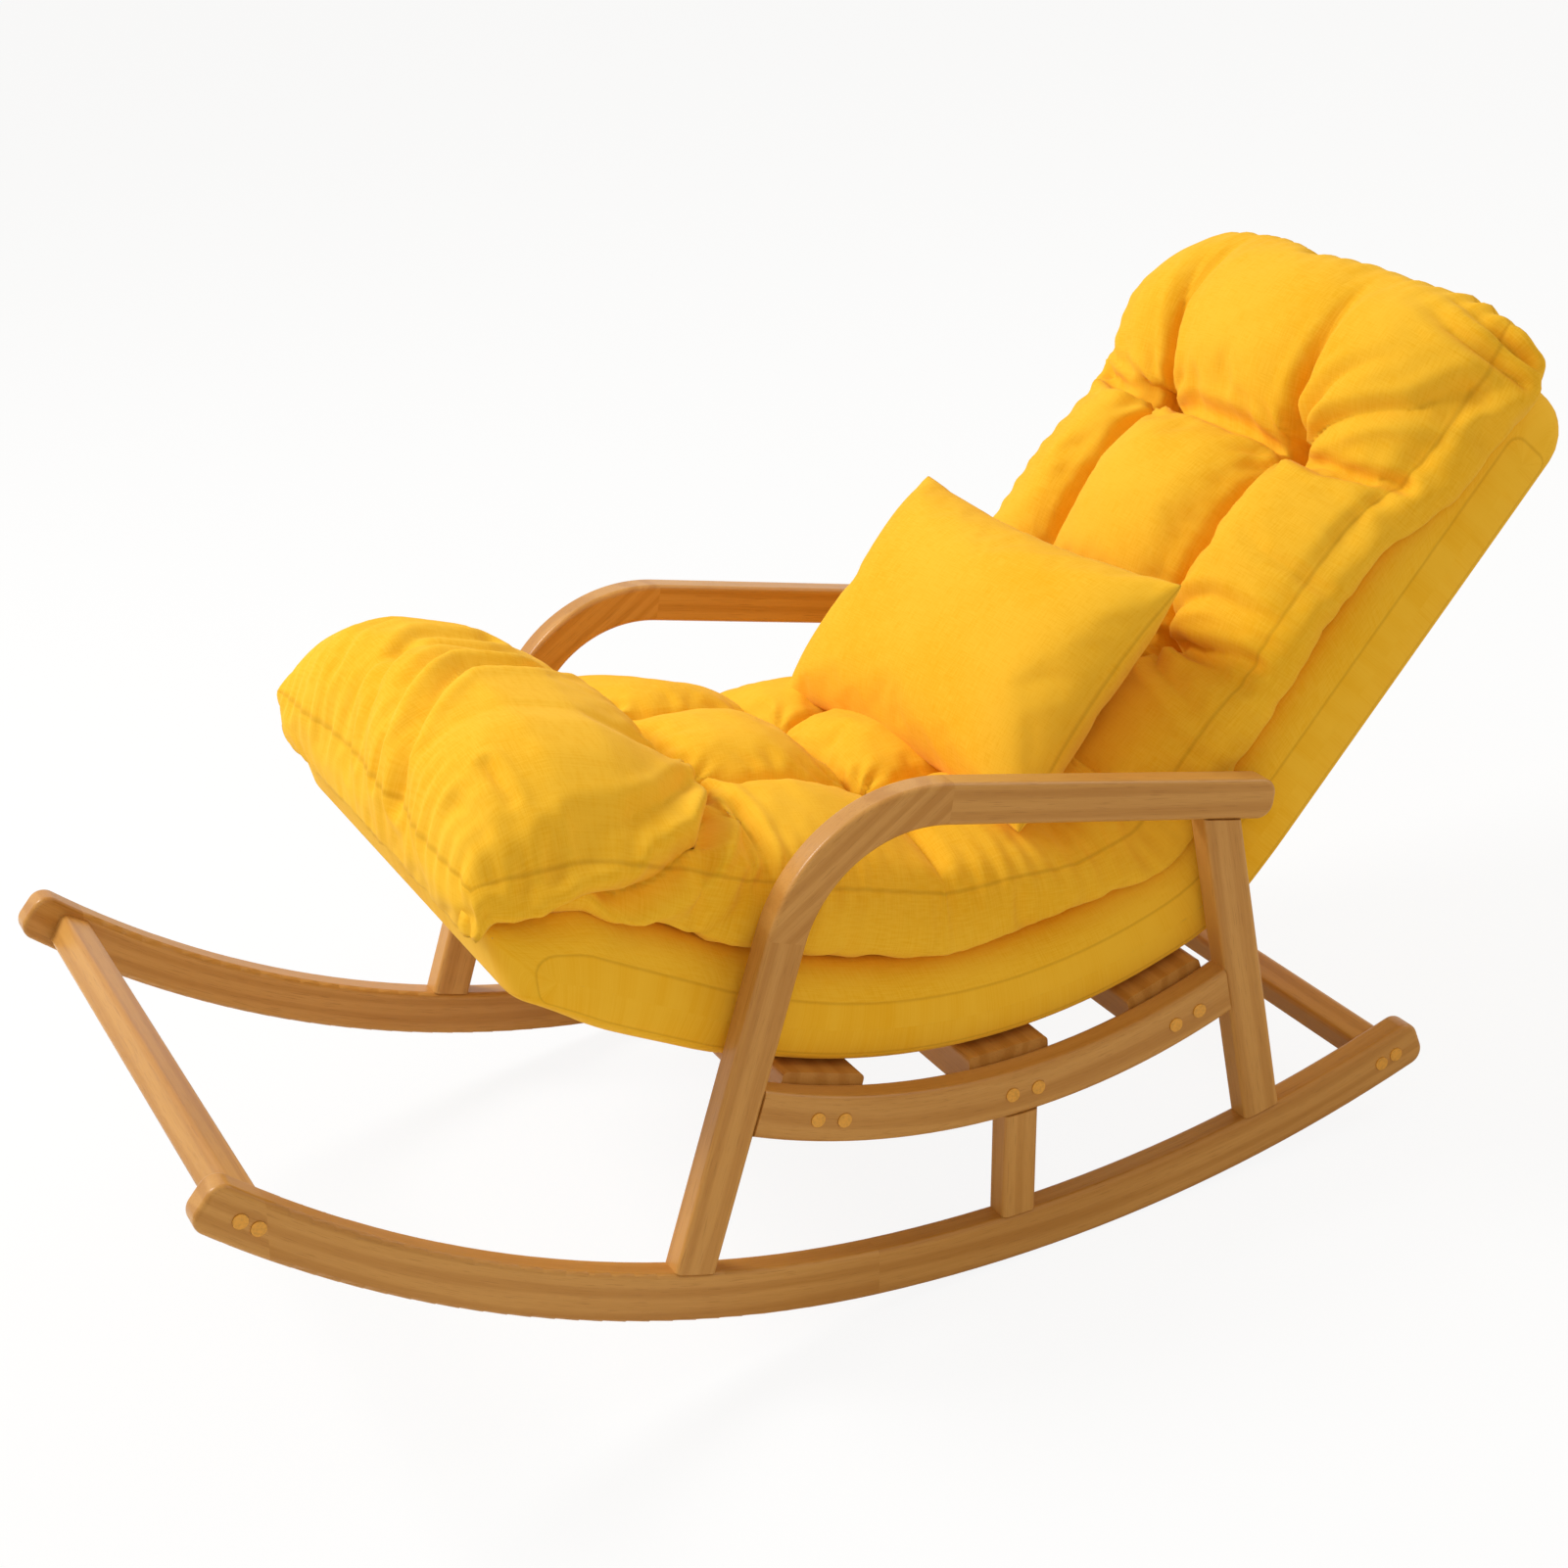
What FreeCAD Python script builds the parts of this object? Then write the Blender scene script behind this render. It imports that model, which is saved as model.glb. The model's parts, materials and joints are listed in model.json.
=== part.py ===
import FreeCAD, Part
import math
import os

import Sketcher

Vector = FreeCAD.Vector
Rotation = FreeCAD.Rotation
Placement = FreeCAD.Placement

# Low rocking chair: hickory side frames on long rockers, an upholstered S shaped
# seat shell, a tufted pad and a loose pillow. Front is -Y, up is +Z, and the
# sitter's left side is +X. All sizes are in millimetres.

doc = FreeCAD.newDocument("RockingChair")
sheet = doc.addObject("Spreadsheet::Sheet", "sizes")
sheet_row = [0]


def put(alias, content):
    """Write one named value, or a formula of named values, into the sheet."""
    sheet_row[0] += 1
    cell = "B%d" % sheet_row[0]
    sheet.set("A%d" % sheet_row[0], alias)
    sheet.set(cell, str(content))
    sheet.setAlias(cell, alias)


def value(alias):
    """Read a named value as a plain number."""
    found = getattr(sheet, alias)
    return float(getattr(found, "Value", found))


# Driving sizes
SIZES = (
    # Side frames
    ("outer_width", 640),
    ("stock", 28),
    ("rocker_depth", 45),
    ("rear_radius", 1380),
    ("front_radius", 1035),
    ("front_reach", 655),
    ("rear_reach", 530),
    ("rocker_joint", 55),
    ("toe_joint", 592),
    ("tip_round", 15),
    ("edge_round", 5),
    ("leg_depth", 37.5),
    ("leg_lean", 16.6),
    ("leg_foot", 229.5),
    ("arm_slope", 9.1),
    ("arm_height", 475),
    ("arm_reach", 340),
    ("bend_radius", 155),
    ("rear_leg_lean", 11.6),
    ("rear_leg_foot", 345),
    ("rail_radius", 640),
    ("rail_depth", 43),
    ("seat_centre_y", 45),
    ("seat_centre_z", 787),
    ("post_width", 33),
    ("post_place", 86.5),
    # Cross pieces of the frame
    ("stretcher_size", 30),
    ("front_stretcher_place", 606),
    ("front_stretcher_tilt", 30),
    ("rear_stretcher_place", 486),
    ("seat_rail_width", 80),
    ("seat_rail_thickness", 40),
    ("front_rail_place", 147.5),
    ("middle_rail_place", 43.5),
    ("rear_rail_place", 210.5),
    ("touch_gap", 0.3),
    ("rest_lean", 7.15),
    # Fasteners
    ("cap_radius", 6.5),
    ("cap_thickness", 6),
    ("cap_proud", 1),
    ("screw_radius", 2.5),
    ("screw_length", 64),
    ("screw_head_radius", 5),
    ("screw_head_height", 4),
    ("rail_screw_spacing", 26),
    ("stretcher_screw_spacing", 17),
    ("hole_clearance", 0.2),
    ("dowel_radius", 4),
    ("dowel_length", 30),
    ("dowel_spacing", 17),
    ("toe_dowel_spacing", 20),
    # Seat shell
    ("shell_half_width", 280),
    ("shell_thickness", 92),
    ("shell_end_round", 36),
    ("shell_radius", 587),
    ("knee_radius", 200),
    ("toe_slope", 25.5),
    ("knee_start", 23.3),
    ("back_slope", 50.3),
    ("shell_toe_length", 176),
    ("shell_back_length", 495),
    ("lip_rise", 146),
    ("lip_length", 88),
    ("cover_thickness", 3),
    ("foam_wrap", 15),
    ("web_thickness", 2),
    ("web_width", 48),
    ("strap_room", 1.2),
    ("panel_thickness", 15),
    ("crosspiece_thickness", 28),
    ("crosspiece_width", 60),
    ("shell_screw_offset", 150),
    ("shell_screw_radius", 3),
    ("shell_screw_grip", 20),
    # Pad and pillow
    ("pad_half_width", 246),
    ("pad_place_x", 16),
    ("pad_seam_height", 52),
    ("pad_side_bulge", 10),
    ("pad_crown", 104),
    ("pad_tuft_height", 58),
    ("tuft_offset", 93),
    ("pad_front_overhang", 6),
    ("pad_top_overhang", 68),
    ("pillow_length", 400),
    ("pillow_height", 245),
    ("pillow_thickness", 118),
    ("pillow_edge", 10),
    ("pillow_place_x", 22),
    ("pillow_along", 24),
    ("pillow_lift", 178.9),
    ("pillow_turn", 3))
for alias, content in SIZES:
    put(alias, content)

# Worked out values

put("outer_half", "=outer_width / 2")
put("inner_half", "=outer_half - stock")

# Rockers: two arcs that run on smoothly at the joint under the seat
put("rear_top_radius", "=rear_radius - rocker_depth")
put("front_top_radius", "=front_radius - rocker_depth")
put("joint_y", "=-rocker_joint")
put("joint_low", "=rear_radius - sqrt(rear_radius^2 - rocker_joint^2)")
put("joint_top", "=rear_radius - sqrt(rear_top_radius^2 - rocker_joint^2)")
put("front_centre_y", "=rocker_joint * front_radius / rear_radius - rocker_joint")
put("front_centre_z", "=joint_low + front_radius * (rear_radius - joint_low) / rear_radius")
put("toe_y", "=-toe_joint")
put("toe_low", "=front_centre_z - sqrt(front_radius^2 - (toe_joint + front_centre_y)^2)")
put("toe_top", "=front_centre_z - sqrt(front_top_radius^2 - (toe_joint + front_centre_y)^2)")
put("front_tip_sine", "=(front_reach + front_centre_y) / front_radius")
put("front_tip_cosine", "=sqrt(1 - front_tip_sine^2)")
put("front_tip_low_y", "=-front_reach")
put("front_tip_low_z", "=front_centre_z - front_radius * front_tip_cosine")
put("front_tip_top_y", "=front_centre_y - front_top_radius * front_tip_sine")
put("front_tip_top_z", "=front_centre_z - front_top_radius * front_tip_cosine")
put("rear_tip_sine", "=rear_reach / rear_radius")
put("rear_tip_cosine", "=sqrt(1 - rear_tip_sine^2)")
put("rear_tip_low_y", "=rear_reach")
put("rear_tip_low_z", "=rear_radius - rear_radius * rear_tip_cosine")
put("rear_tip_top_y", "=rear_top_radius * rear_tip_sine")
put("rear_tip_top_z", "=rear_radius - rear_top_radius * rear_tip_cosine")
put("rear_centre_y", 0)
put("rear_centre_z", "=rear_radius")

# Front leg: its foot is cut to the rocker's top, and it runs into the arm's bend
put("leg_sine", "=sin(leg_lean)")
put("leg_cosine", "=cos(leg_lean)")
put("arm_sine", "=sin(arm_slope)")
put("arm_cosine", "=cos(arm_slope)")
put("foot_z", "=front_centre_z - sqrt(front_top_radius^2 - (leg_foot + front_centre_y)^2)")
put("leg_line", "=-(leg_foot + front_centre_y) * leg_cosine - (foot_z - front_centre_z) * leg_sine")
put("leg_front_line", "=leg_line - leg_depth / 2")
put("leg_rear_line", "=leg_line + leg_depth / 2")
put("leg_front_drop", "=sqrt(front_top_radius^2 - leg_front_line^2)")
put("leg_rear_drop", "=sqrt(front_top_radius^2 - leg_rear_line^2)")
put("foot_front_y", "=front_centre_y + leg_front_line * leg_cosine - leg_front_drop * leg_sine")
put("foot_front_z", "=front_centre_z - leg_front_line * leg_sine - leg_front_drop * leg_cosine")
put("foot_rear_y", "=front_centre_y + leg_rear_line * leg_cosine - leg_rear_drop * leg_sine")
put("foot_rear_z", "=front_centre_z - leg_rear_line * leg_sine - leg_rear_drop * leg_cosine")
put("bend_inner_radius", "=bend_radius - leg_depth")
put("bend_first", "=leg_front_line + bend_radius + front_centre_y * leg_cosine - front_centre_z * leg_sine")
put("arm_line", "=arm_height * arm_cosine")
put("bend_second", "=arm_line - bend_radius")
put("bend_share", "=leg_cosine * arm_cosine + leg_sine * arm_sine")
put("bend_centre_y", "=(bend_first * arm_cosine + bend_second * leg_sine) / bend_share")
put("bend_centre_z", "=(bend_second * leg_cosine - bend_first * arm_sine) / bend_share")
put("bend_low_outer_y", "=bend_centre_y - bend_radius * leg_cosine")
put("bend_low_outer_z", "=bend_centre_z + bend_radius * leg_sine")
put("bend_low_inner_y", "=bend_centre_y - bend_inner_radius * leg_cosine")
put("bend_low_inner_z", "=bend_centre_z + bend_inner_radius * leg_sine")
put("bend_high_outer_y", "=bend_centre_y + bend_radius * arm_sine")
put("bend_high_outer_z", "=bend_centre_z + bend_radius * arm_cosine")
put("bend_high_inner_y", "=bend_centre_y + bend_inner_radius * arm_sine")
put("bend_high_inner_z", "=bend_centre_z + bend_inner_radius * arm_cosine")
put("arm_length", "=(arm_reach - bend_high_outer_y) / arm_cosine")
put("arm_end_top_y", "=bend_high_outer_y + arm_length * arm_cosine")
put("arm_end_top_z", "=bend_high_outer_z - arm_length * arm_sine")
put("arm_end_low_y", "=arm_end_top_y - leg_depth * arm_sine")
put("arm_end_low_z", "=arm_end_top_z - leg_depth * arm_cosine")

# Rear leg: cut to the rocker below and to the underside of the armrest above
put("back_leg_sine", "=sin(rear_leg_lean)")
put("back_leg_cosine", "=cos(rear_leg_lean)")
put("rear_foot_z", "=rear_radius - sqrt(rear_top_radius^2 - rear_leg_foot^2)")
put("back_line", "=rear_leg_foot * back_leg_cosine + (rear_foot_z - rear_radius) * back_leg_sine")
put("back_front_line", "=back_line - leg_depth / 2")
put("back_rear_line", "=back_line + leg_depth / 2")
put("both_sine", "=back_leg_cosine * arm_sine + back_leg_sine * arm_cosine")
put("both_cosine", "=back_leg_cosine * arm_cosine - back_leg_sine * arm_sine")
put("arm_under_line", "=arm_line - leg_depth - rear_radius * arm_cosine")
for side in ("front", "rear"):
    line = "back_%s_line" % side
    drop = "back_%s_drop" % side
    rise = "back_%s_rise" % side
    put(drop, "=sqrt(rear_top_radius^2 - %s^2)" % line)
    put(rise, "=(arm_under_line - %s * both_sine) / both_cosine" % line)
    put("back_foot_%s_y" % side, "=%s * back_leg_cosine + %s * back_leg_sine" % (line, drop))
    put("back_foot_%s_z" % side, "=rear_radius + %s * back_leg_sine - %s * back_leg_cosine" % (line, drop))
    put("back_head_%s_y" % side, "=%s * back_leg_cosine - %s * back_leg_sine" % (line, rise))
    put("back_head_%s_z" % side, "=rear_radius + %s * back_leg_sine + %s * back_leg_cosine" % (line, rise))

# Side rail: an arc about the seat's centre between the two legs
put("rail_top_radius", "=rail_radius - rail_depth")
put("rail_middle_radius", "=rail_radius - rail_depth / 2")
put("rail_front_shift", "=leg_rear_line + (front_centre_y - seat_centre_y) * leg_cosine"
    " - (front_centre_z - seat_centre_z) * leg_sine")
put("rail_rear_shift", "=back_front_line - seat_centre_y * back_leg_cosine"
    " + (rear_radius - seat_centre_z) * back_leg_sine")
for level, radius in (("low", "rail_radius"), ("top", "rail_top_radius"), ("middle", "rail_middle_radius")):
    put("rail_front_%s_drop" % level, "=sqrt(%s^2 - rail_front_shift^2)" % radius)
    put("rail_front_%s_y" % level, "=seat_centre_y + rail_front_shift * leg_cosine"
        " - rail_front_%s_drop * leg_sine" % level)
    put("rail_front_%s_z" % level, "=seat_centre_z - rail_front_shift * leg_sine"
        " - rail_front_%s_drop * leg_cosine" % level)
    put("rail_rear_%s_drop" % level, "=sqrt(%s^2 - rail_rear_shift^2)" % radius)
    put("rail_rear_%s_y" % level, "=seat_centre_y + rail_rear_shift * back_leg_cosine"
        " + rail_rear_%s_drop * back_leg_sine" % level)
    put("rail_rear_%s_z" % level, "=seat_centre_z + rail_rear_shift * back_leg_sine"
        " - rail_rear_%s_drop * back_leg_cosine" % level)

# Middle post, between the rocker's top and the side rail's underside
put("post_front_y", "=post_place - post_width / 2")
put("post_rear_y", "=post_place + post_width / 2")
for side in ("front", "rear"):
    put("post_%s_low" % side, "=rear_radius - sqrt(rear_top_radius^2 - post_%s_y^2)" % side)
    put("post_%s_high" % side, "=seat_centre_z - sqrt(rail_radius^2 - (post_%s_y - seat_centre_y)^2)" % side)

# Stretchers, in the middle of the rocker's depth
put("front_middle_radius", "=front_radius - rocker_depth / 2")
put("rear_middle_radius", "=rear_radius - rocker_depth / 2")
put("front_stretcher_y", "=-front_stretcher_place")
put("front_stretcher_z", "=front_centre_z"
    " - sqrt(front_middle_radius^2 - (front_stretcher_place + front_centre_y)^2)")
put("front_stretcher_turn", "=360 - front_stretcher_tilt")
put("rear_stretcher_z", "=rear_radius - sqrt(rear_middle_radius^2 - rear_stretcher_place^2)")
put("rear_stretcher_tilt", "=asin(rear_stretcher_place / rear_middle_radius)")

# Seat rails: their tops touch the shell, and their screws run in the side rail's middle
put("seat_rail_middle", "=shell_radius + touch_gap + seat_rail_thickness / 2")
for name, place in (("front", "-front_rail_place"), ("middle", "middle_rail_place"), ("rear", "rear_rail_place")):
    put("%s_rail_sine" % name, "=%s / rail_middle_radius" % place)
    put("%s_rail_cosine" % name, "=sqrt(1 - %s_rail_sine^2)" % name)
    put("%s_rail_tilt" % name, "=asin(%s_rail_sine)" % name)
    put("%s_rail_y" % name, "=seat_centre_y + seat_rail_middle * %s_rail_sine" % name)
    put("%s_rail_z" % name, "=seat_centre_z - seat_rail_middle * %s_rail_cosine" % name)

# Seat shell: points of its side outline at the insets of its layers
put("toe_sine", "=sin(toe_slope)")
put("toe_cosine", "=cos(toe_slope)")
put("knee_sine", "=sin(knee_start)")
put("knee_cosine", "=cos(knee_start)")
put("back_sine", "=sin(back_slope)")
put("back_cosine", "=cos(back_slope)")
put("knee_centre_y", "=seat_centre_y + (shell_radius - knee_radius) * knee_sine")
put("knee_centre_z", "=seat_centre_z - (shell_radius - knee_radius) * knee_cosine")
put("no_inset", 0)
put("lining_end_round", "=shell_end_round - cover_thickness")
put("panel_end_round", "=shell_end_round - foam_wrap")
put("liner_inset", "=cover_thickness + touch_gap")
put("foam_low_inset", "=shell_thickness - foam_wrap + web_thickness + strap_room")


def shell_points(name, low_inset, top_inset, end_inset):
    """Name the points of a shell layer, inset from the shell's underside, top and ends."""
    put(name + "_low_radius", "=shell_radius - %s" % low_inset)
    put(name + "_low_knee", "=knee_radius - %s" % low_inset)
    put(name + "_top_radius", "=shell_radius - shell_thickness + %s" % top_inset)
    put(name + "_top_knee", "=knee_radius - shell_thickness + %s" % top_inset)
    for level in ("low", "top"):
        arc = "%s_%s" % (name, level)
        put(arc + "_toe_y", "=seat_centre_y - %s_radius * toe_sine" % arc)
        put(arc + "_toe_z", "=seat_centre_z - %s_radius * toe_cosine" % arc)
        put(arc + "_turn_y", "=seat_centre_y + %s_radius * knee_sine" % arc)
        put(arc + "_turn_z", "=seat_centre_z - %s_radius * knee_cosine" % arc)
        put(arc + "_back_y", "=knee_centre_y + %s_knee * back_sine" % arc)
        put(arc + "_back_z", "=knee_centre_z - %s_knee * back_cosine" % arc)
        put(arc + "_end_y", "=%s_back_y + (shell_back_length - %s) * back_cosine" % (arc, end_inset))
        put(arc + "_end_z", "=%s_back_z + (shell_back_length - %s) * back_sine" % (arc, end_inset))
    put(name + "_low_lip_y", "=%s_low_toe_y - (shell_toe_length - %s) * toe_cosine" % (name, end_inset))
    put(name + "_low_lip_z", "=%s_low_toe_z + (shell_toe_length - %s) * toe_sine" % (name, end_inset))
    put(name + "_rise_y", "=%s_top_toe_y - lip_rise * toe_cosine" % name)
    put(name + "_rise_z", "=%s_top_toe_z + lip_rise * toe_sine" % name)
    put(name + "_lip_y", "=%s_rise_y - lip_length + %s" % (name, end_inset))
    put(name + "_lip_z", "=%s_rise_z" % name)


shell_points("cover", "no_inset", "no_inset", "no_inset")
shell_points("lining", "cover_thickness", "cover_thickness", "cover_thickness")
shell_points("panel", "liner_inset", "foam_wrap", "foam_wrap")
shell_points("foam", "foam_low_inset", "liner_inset", "liner_inset")
put("cover_room", "=shell_half_width - cover_thickness")
put("panel_place", "=shell_half_width - foam_wrap")
put("panel_inner", "=panel_place - panel_thickness")
doc.recompute()


# Sketched boards

def origin_plane(body, role):
    """Find one of the body's own origin planes."""
    return [plane for plane in body.Origin.OriginFeatures if plane.Role == role][0]


def point_at(names):
    """Read a named point of the side view as a vector in the sketch."""
    return Vector(value(names[0]), value(names[1]), 0)


def outline_sketch(body, name, points, arcs, place):
    """Draw a closed side view through named points, with arcs about named centres."""
    sketch = body.newObject("Sketcher::SketchObject", name)
    sketch.AttachmentSupport = (origin_plane(body, "YZ_Plane"), [""])
    sketch.MapMode = "FlatFace"
    sketch.setExpression("AttachmentOffset.Base.z", "<<sizes>>." + place)
    count = len(points)
    ends = []
    for index in range(count):
        start = point_at(points[index])
        finish = point_at(points[(index + 1) % count])
        if index not in arcs:
            geometry = sketch.addGeometry(Part.LineSegment(start, finish), False)
            ends.append((geometry, 1, 2))
            continue
        centre_y, centre_z, radius, turn = arcs[index]
        centre = point_at((centre_y, centre_z))
        first, last = (start, finish) if turn == "left" else (finish, start)
        angles = [math.atan2(spot.y - centre.y, spot.x - centre.x) for spot in (first, last)]
        circle = Part.Circle(centre, Vector(0, 0, 1), value(radius))
        geometry = sketch.addGeometry(Part.ArcOfCircle(circle, *angles), False)
        named = sketch.addConstraint(Sketcher.Constraint("Radius", geometry, value(radius)))
        sketch.renameConstraint(named, "radius%d" % index)
        sketch.setExpression("Constraints.radius%d" % index, "<<sizes>>." + radius)
        ends.append((geometry, 1, 2) if turn == "left" else (geometry, 2, 1))
    for index in range(count):
        geometry, start, _ = ends[index]
        before, _, finish = ends[index - 1]
        sketch.addConstraint(Sketcher.Constraint("Coincident", before, finish, geometry, start))
        for kind, alias in zip(("DistanceX", "DistanceY"), points[index]):
            rule = Sketcher.Constraint(kind, -1, 1, geometry, start, value(alias))
            named = sketch.addConstraint(rule)
            label = "%s%d" % (kind, index)
            sketch.renameConstraint(named, label)
            sketch.setExpression("Constraints." + label, "<<sizes>>." + alias)
    return sketch


def middle_of(points, arcs, index):
    """Find the middle of one side of an outline."""
    start = point_at(points[index])
    finish = point_at(points[(index + 1) % len(points)])
    middle = (start + finish) / 2
    if index in arcs:
        centre = point_at(arcs[index][:2])
        middle = centre + (middle - centre).normalize() * value(arcs[index][2])
    return middle


def round_edges(body, name, edges, radius):
    """Round the given edges of the body's tip."""
    base = body.Tip
    rounding = body.newObject("PartDesign::Fillet", name)
    rounding.Base = (base, edges)
    rounding.setExpression("Radius", "<<sizes>>." + radius)
    body.Tip = rounding
    doc.recompute()


def near_edges(shape, spots):
    """Name the edges of a shape that pass through the given spots."""
    reach = value("touch_gap")
    found = []
    for number, edge in enumerate(shape.Edges):
        if any(edge.distToShape(Part.Vertex(spot))[0] < reach for spot in spots):
            found.append("Edge%d" % (number + 1))
    return found


def board(name, points, arcs, soft, tips, place, thickness, radius="edge_round", tip_radius="tip_round"):
    """Cut a board to a side view, round its tips and then its long edges."""
    body = doc.addObject("PartDesign::Body", name)
    sketch = outline_sketch(body, name + "_outline", points, arcs, place)
    pad = body.newObject("PartDesign::Pad", name + "_pad")
    pad.Profile = sketch
    pad.setExpression("Length", "<<sizes>>." + thickness)
    doc.recompute()
    body.Tip = pad
    near = value(place)
    far = near + value(thickness)
    if tips:
        spots = [point_at(points[index]) for index in tips]
        places = [Vector((near + far) / 2, spot.x, spot.y) for spot in spots]
        round_edges(body, name + "_tips", near_edges(pad.Shape, places), tip_radius)
    if soft:
        spots = [middle_of(points, arcs, index) for index in soft]
        places = [Vector(face, spot.x, spot.y) for spot in spots for face in (near, far)]
        round_edges(body, name + "_edges", near_edges(body.Tip.Shape, places), radius)
    return body


def bar(name, width, depth, half_length, place_y, place_z, tilt):
    """Make a straight bar across the chair, with rounded long edges."""
    body = doc.addObject("PartDesign::Body", name)
    sketch = body.newObject("Sketcher::SketchObject", name + "_section")
    sketch.AttachmentSupport = (origin_plane(body, "YZ_Plane"), [""])
    sketch.MapMode = "FlatFace"
    across = value(width) / 2
    down = value(depth) / 2
    corners = [Vector(-across, -down), Vector(across, -down), Vector(across, down), Vector(-across, down)]
    for index in range(len(corners)):
        sketch.addGeometry(Part.LineSegment(corners[index], corners[(index + 1) % len(corners)]), False)
    for index in range(len(corners)):
        following = (index + 1) % len(corners)
        sketch.addConstraint(Sketcher.Constraint("Coincident", index, 2, following, 1))
        sketch.addConstraint(Sketcher.Constraint("Horizontal" if index % 2 == 0 else "Vertical", index))
    sketch.addConstraint(Sketcher.Constraint("Symmetric", 0, 1, 1, 2, -1, 1))
    wide = sketch.addConstraint(Sketcher.Constraint("DistanceX", 0, 1, 0, 2, value(width)))
    high = sketch.addConstraint(Sketcher.Constraint("DistanceY", 1, 1, 1, 2, value(depth)))
    sketch.renameConstraint(wide, "wide")
    sketch.renameConstraint(high, "high")
    sketch.setExpression("Constraints.wide", "<<sizes>>." + width)
    sketch.setExpression("Constraints.high", "<<sizes>>." + depth)
    pad = body.newObject("PartDesign::Pad", name + "_pad")
    pad.Profile = sketch
    pad.SideType = "Symmetric"
    pad.setExpression("Length", "<<sizes>>.%s * 2" % half_length)
    doc.recompute()
    body.Tip = pad
    spots = [Vector(0, corner.x, corner.y) for corner in corners]
    round_edges(body, name + "_edges", near_edges(pad.Shape, spots), "edge_round")
    turn_about_x(body, tilt, value(tilt))
    place_by(body, None, place_y, place_z)
    return body


def place_by(thing, place_x, place_y, place_z):
    """Bind the place of an object to named values or formulas."""
    for axis, formula in zip("xyz", (place_x, place_y, place_z)):
        if formula:
            thing.setExpression("Placement.Base." + axis, formula_of(formula))


def turn_about_x(thing, tilt, angle):
    """Bind the turn of an object about the X axis to a named tilt."""
    thing.Placement = Placement(Vector(0, 0, 0), Rotation(Vector(1, 0, 0), angle))
    thing.setExpression("Placement.Rotation.Angle", "<<sizes>>." + tilt)


def formula_of(text):
    """Point every name in a formula at the sheet."""
    words = text.replace("(", "( ").replace(")", " )").split()
    return " ".join("<<sizes>>." + word if word[0].isalpha() else word for word in words)


def rod_across(name, radius, length, place_x, place_y, place_z):
    """Make a round rod along X, which starts at the given place."""
    rod = doc.addObject("Part::Cylinder", name)
    rod.Placement = Placement(Vector(0, 0, 0), Rotation(Vector(0, 1, 0), 90))
    rod.setExpression("Radius", formula_of(radius))
    rod.setExpression("Height", formula_of(length))
    place_by(rod, place_x, place_y, place_z)
    return rod


def group(name, members):
    """Hold separate solids together as one named group."""
    compound = doc.addObject("Part::Compound", name)
    compound.Links = members
    return compound


def drill(name, blank, tools):
    """Take the holes out of a blank, which gives the finished piece."""
    piece = doc.addObject("Part::Cut", name)
    piece.Base = blank
    piece.Tool = group(name + "_holes", tools) if len(tools) > 1 else tools[0]
    return piece


def mirrored(name, source):
    """Make the piece of the other side."""
    copy = doc.addObject("Part::Mirroring", name)
    copy.Source = source
    copy.Normal = Vector(1, 0, 0)
    return copy


pieces = {}

# Blanks of the side frame on the sitter's left
REAR_ARC = ("rear_centre_y", "rear_centre_z")
FRONT_ARC = ("front_centre_y", "front_centre_z")
SEAT_ARC = ("seat_centre_y", "seat_centre_z")
BEND_ARC = ("bend_centre_y", "bend_centre_z")
KNEE_ARC = ("knee_centre_y", "knee_centre_z")

toe_blank = board(
    "toe_blank",
    [("front_tip_low_y", "front_tip_low_z"), ("toe_y", "toe_low"), ("toe_y", "toe_top"),
     ("front_tip_top_y", "front_tip_top_z")],
    {0: FRONT_ARC + ("front_radius", "left"), 2: FRONT_ARC + ("front_top_radius", "right")},
    (0, 2), (0, 3), "inner_half", "stock")
front_rocker_blank = board(
    "front_rocker_blank",
    [("toe_y", "toe_low"), ("joint_y", "joint_low"), ("joint_y", "joint_top"), ("toe_y", "toe_top")],
    {0: FRONT_ARC + ("front_radius", "left"), 2: FRONT_ARC + ("front_top_radius", "right")},
    (0, 2), (), "inner_half", "stock")
rear_rocker_blank = board(
    "rear_rocker_blank",
    [("joint_y", "joint_low"), ("rear_tip_low_y", "rear_tip_low_z"), ("rear_tip_top_y", "rear_tip_top_z"),
     ("joint_y", "joint_top")],
    {0: REAR_ARC + ("rear_radius", "left"), 2: REAR_ARC + ("rear_top_radius", "right")},
    (0, 2), (1, 2), "inner_half", "stock")
front_leg_blank = board(
    "front_leg_blank",
    [("foot_front_y", "foot_front_z"), ("foot_rear_y", "foot_rear_z"),
     ("bend_low_inner_y", "bend_low_inner_z"), ("bend_low_outer_y", "bend_low_outer_z")],
    {0: FRONT_ARC + ("front_top_radius", "left")},
    (1, 3), (), "inner_half", "stock")
arm_bend_blank = board(
    "arm_bend_blank",
    [("bend_low_outer_y", "bend_low_outer_z"), ("bend_low_inner_y", "bend_low_inner_z"),
     ("bend_high_inner_y", "bend_high_inner_z"), ("bend_high_outer_y", "bend_high_outer_z")],
    {1: BEND_ARC + ("bend_inner_radius", "right"), 3: BEND_ARC + ("bend_radius", "left")},
    (1, 3), (), "inner_half", "stock")
armrest_blank = board(
    "armrest_blank",
    [("bend_high_inner_y", "bend_high_inner_z"), ("arm_end_low_y", "arm_end_low_z"),
     ("arm_end_top_y", "arm_end_top_z"), ("bend_high_outer_y", "bend_high_outer_z")],
    {}, (0, 2), (1, 2), "inner_half", "stock")
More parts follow.
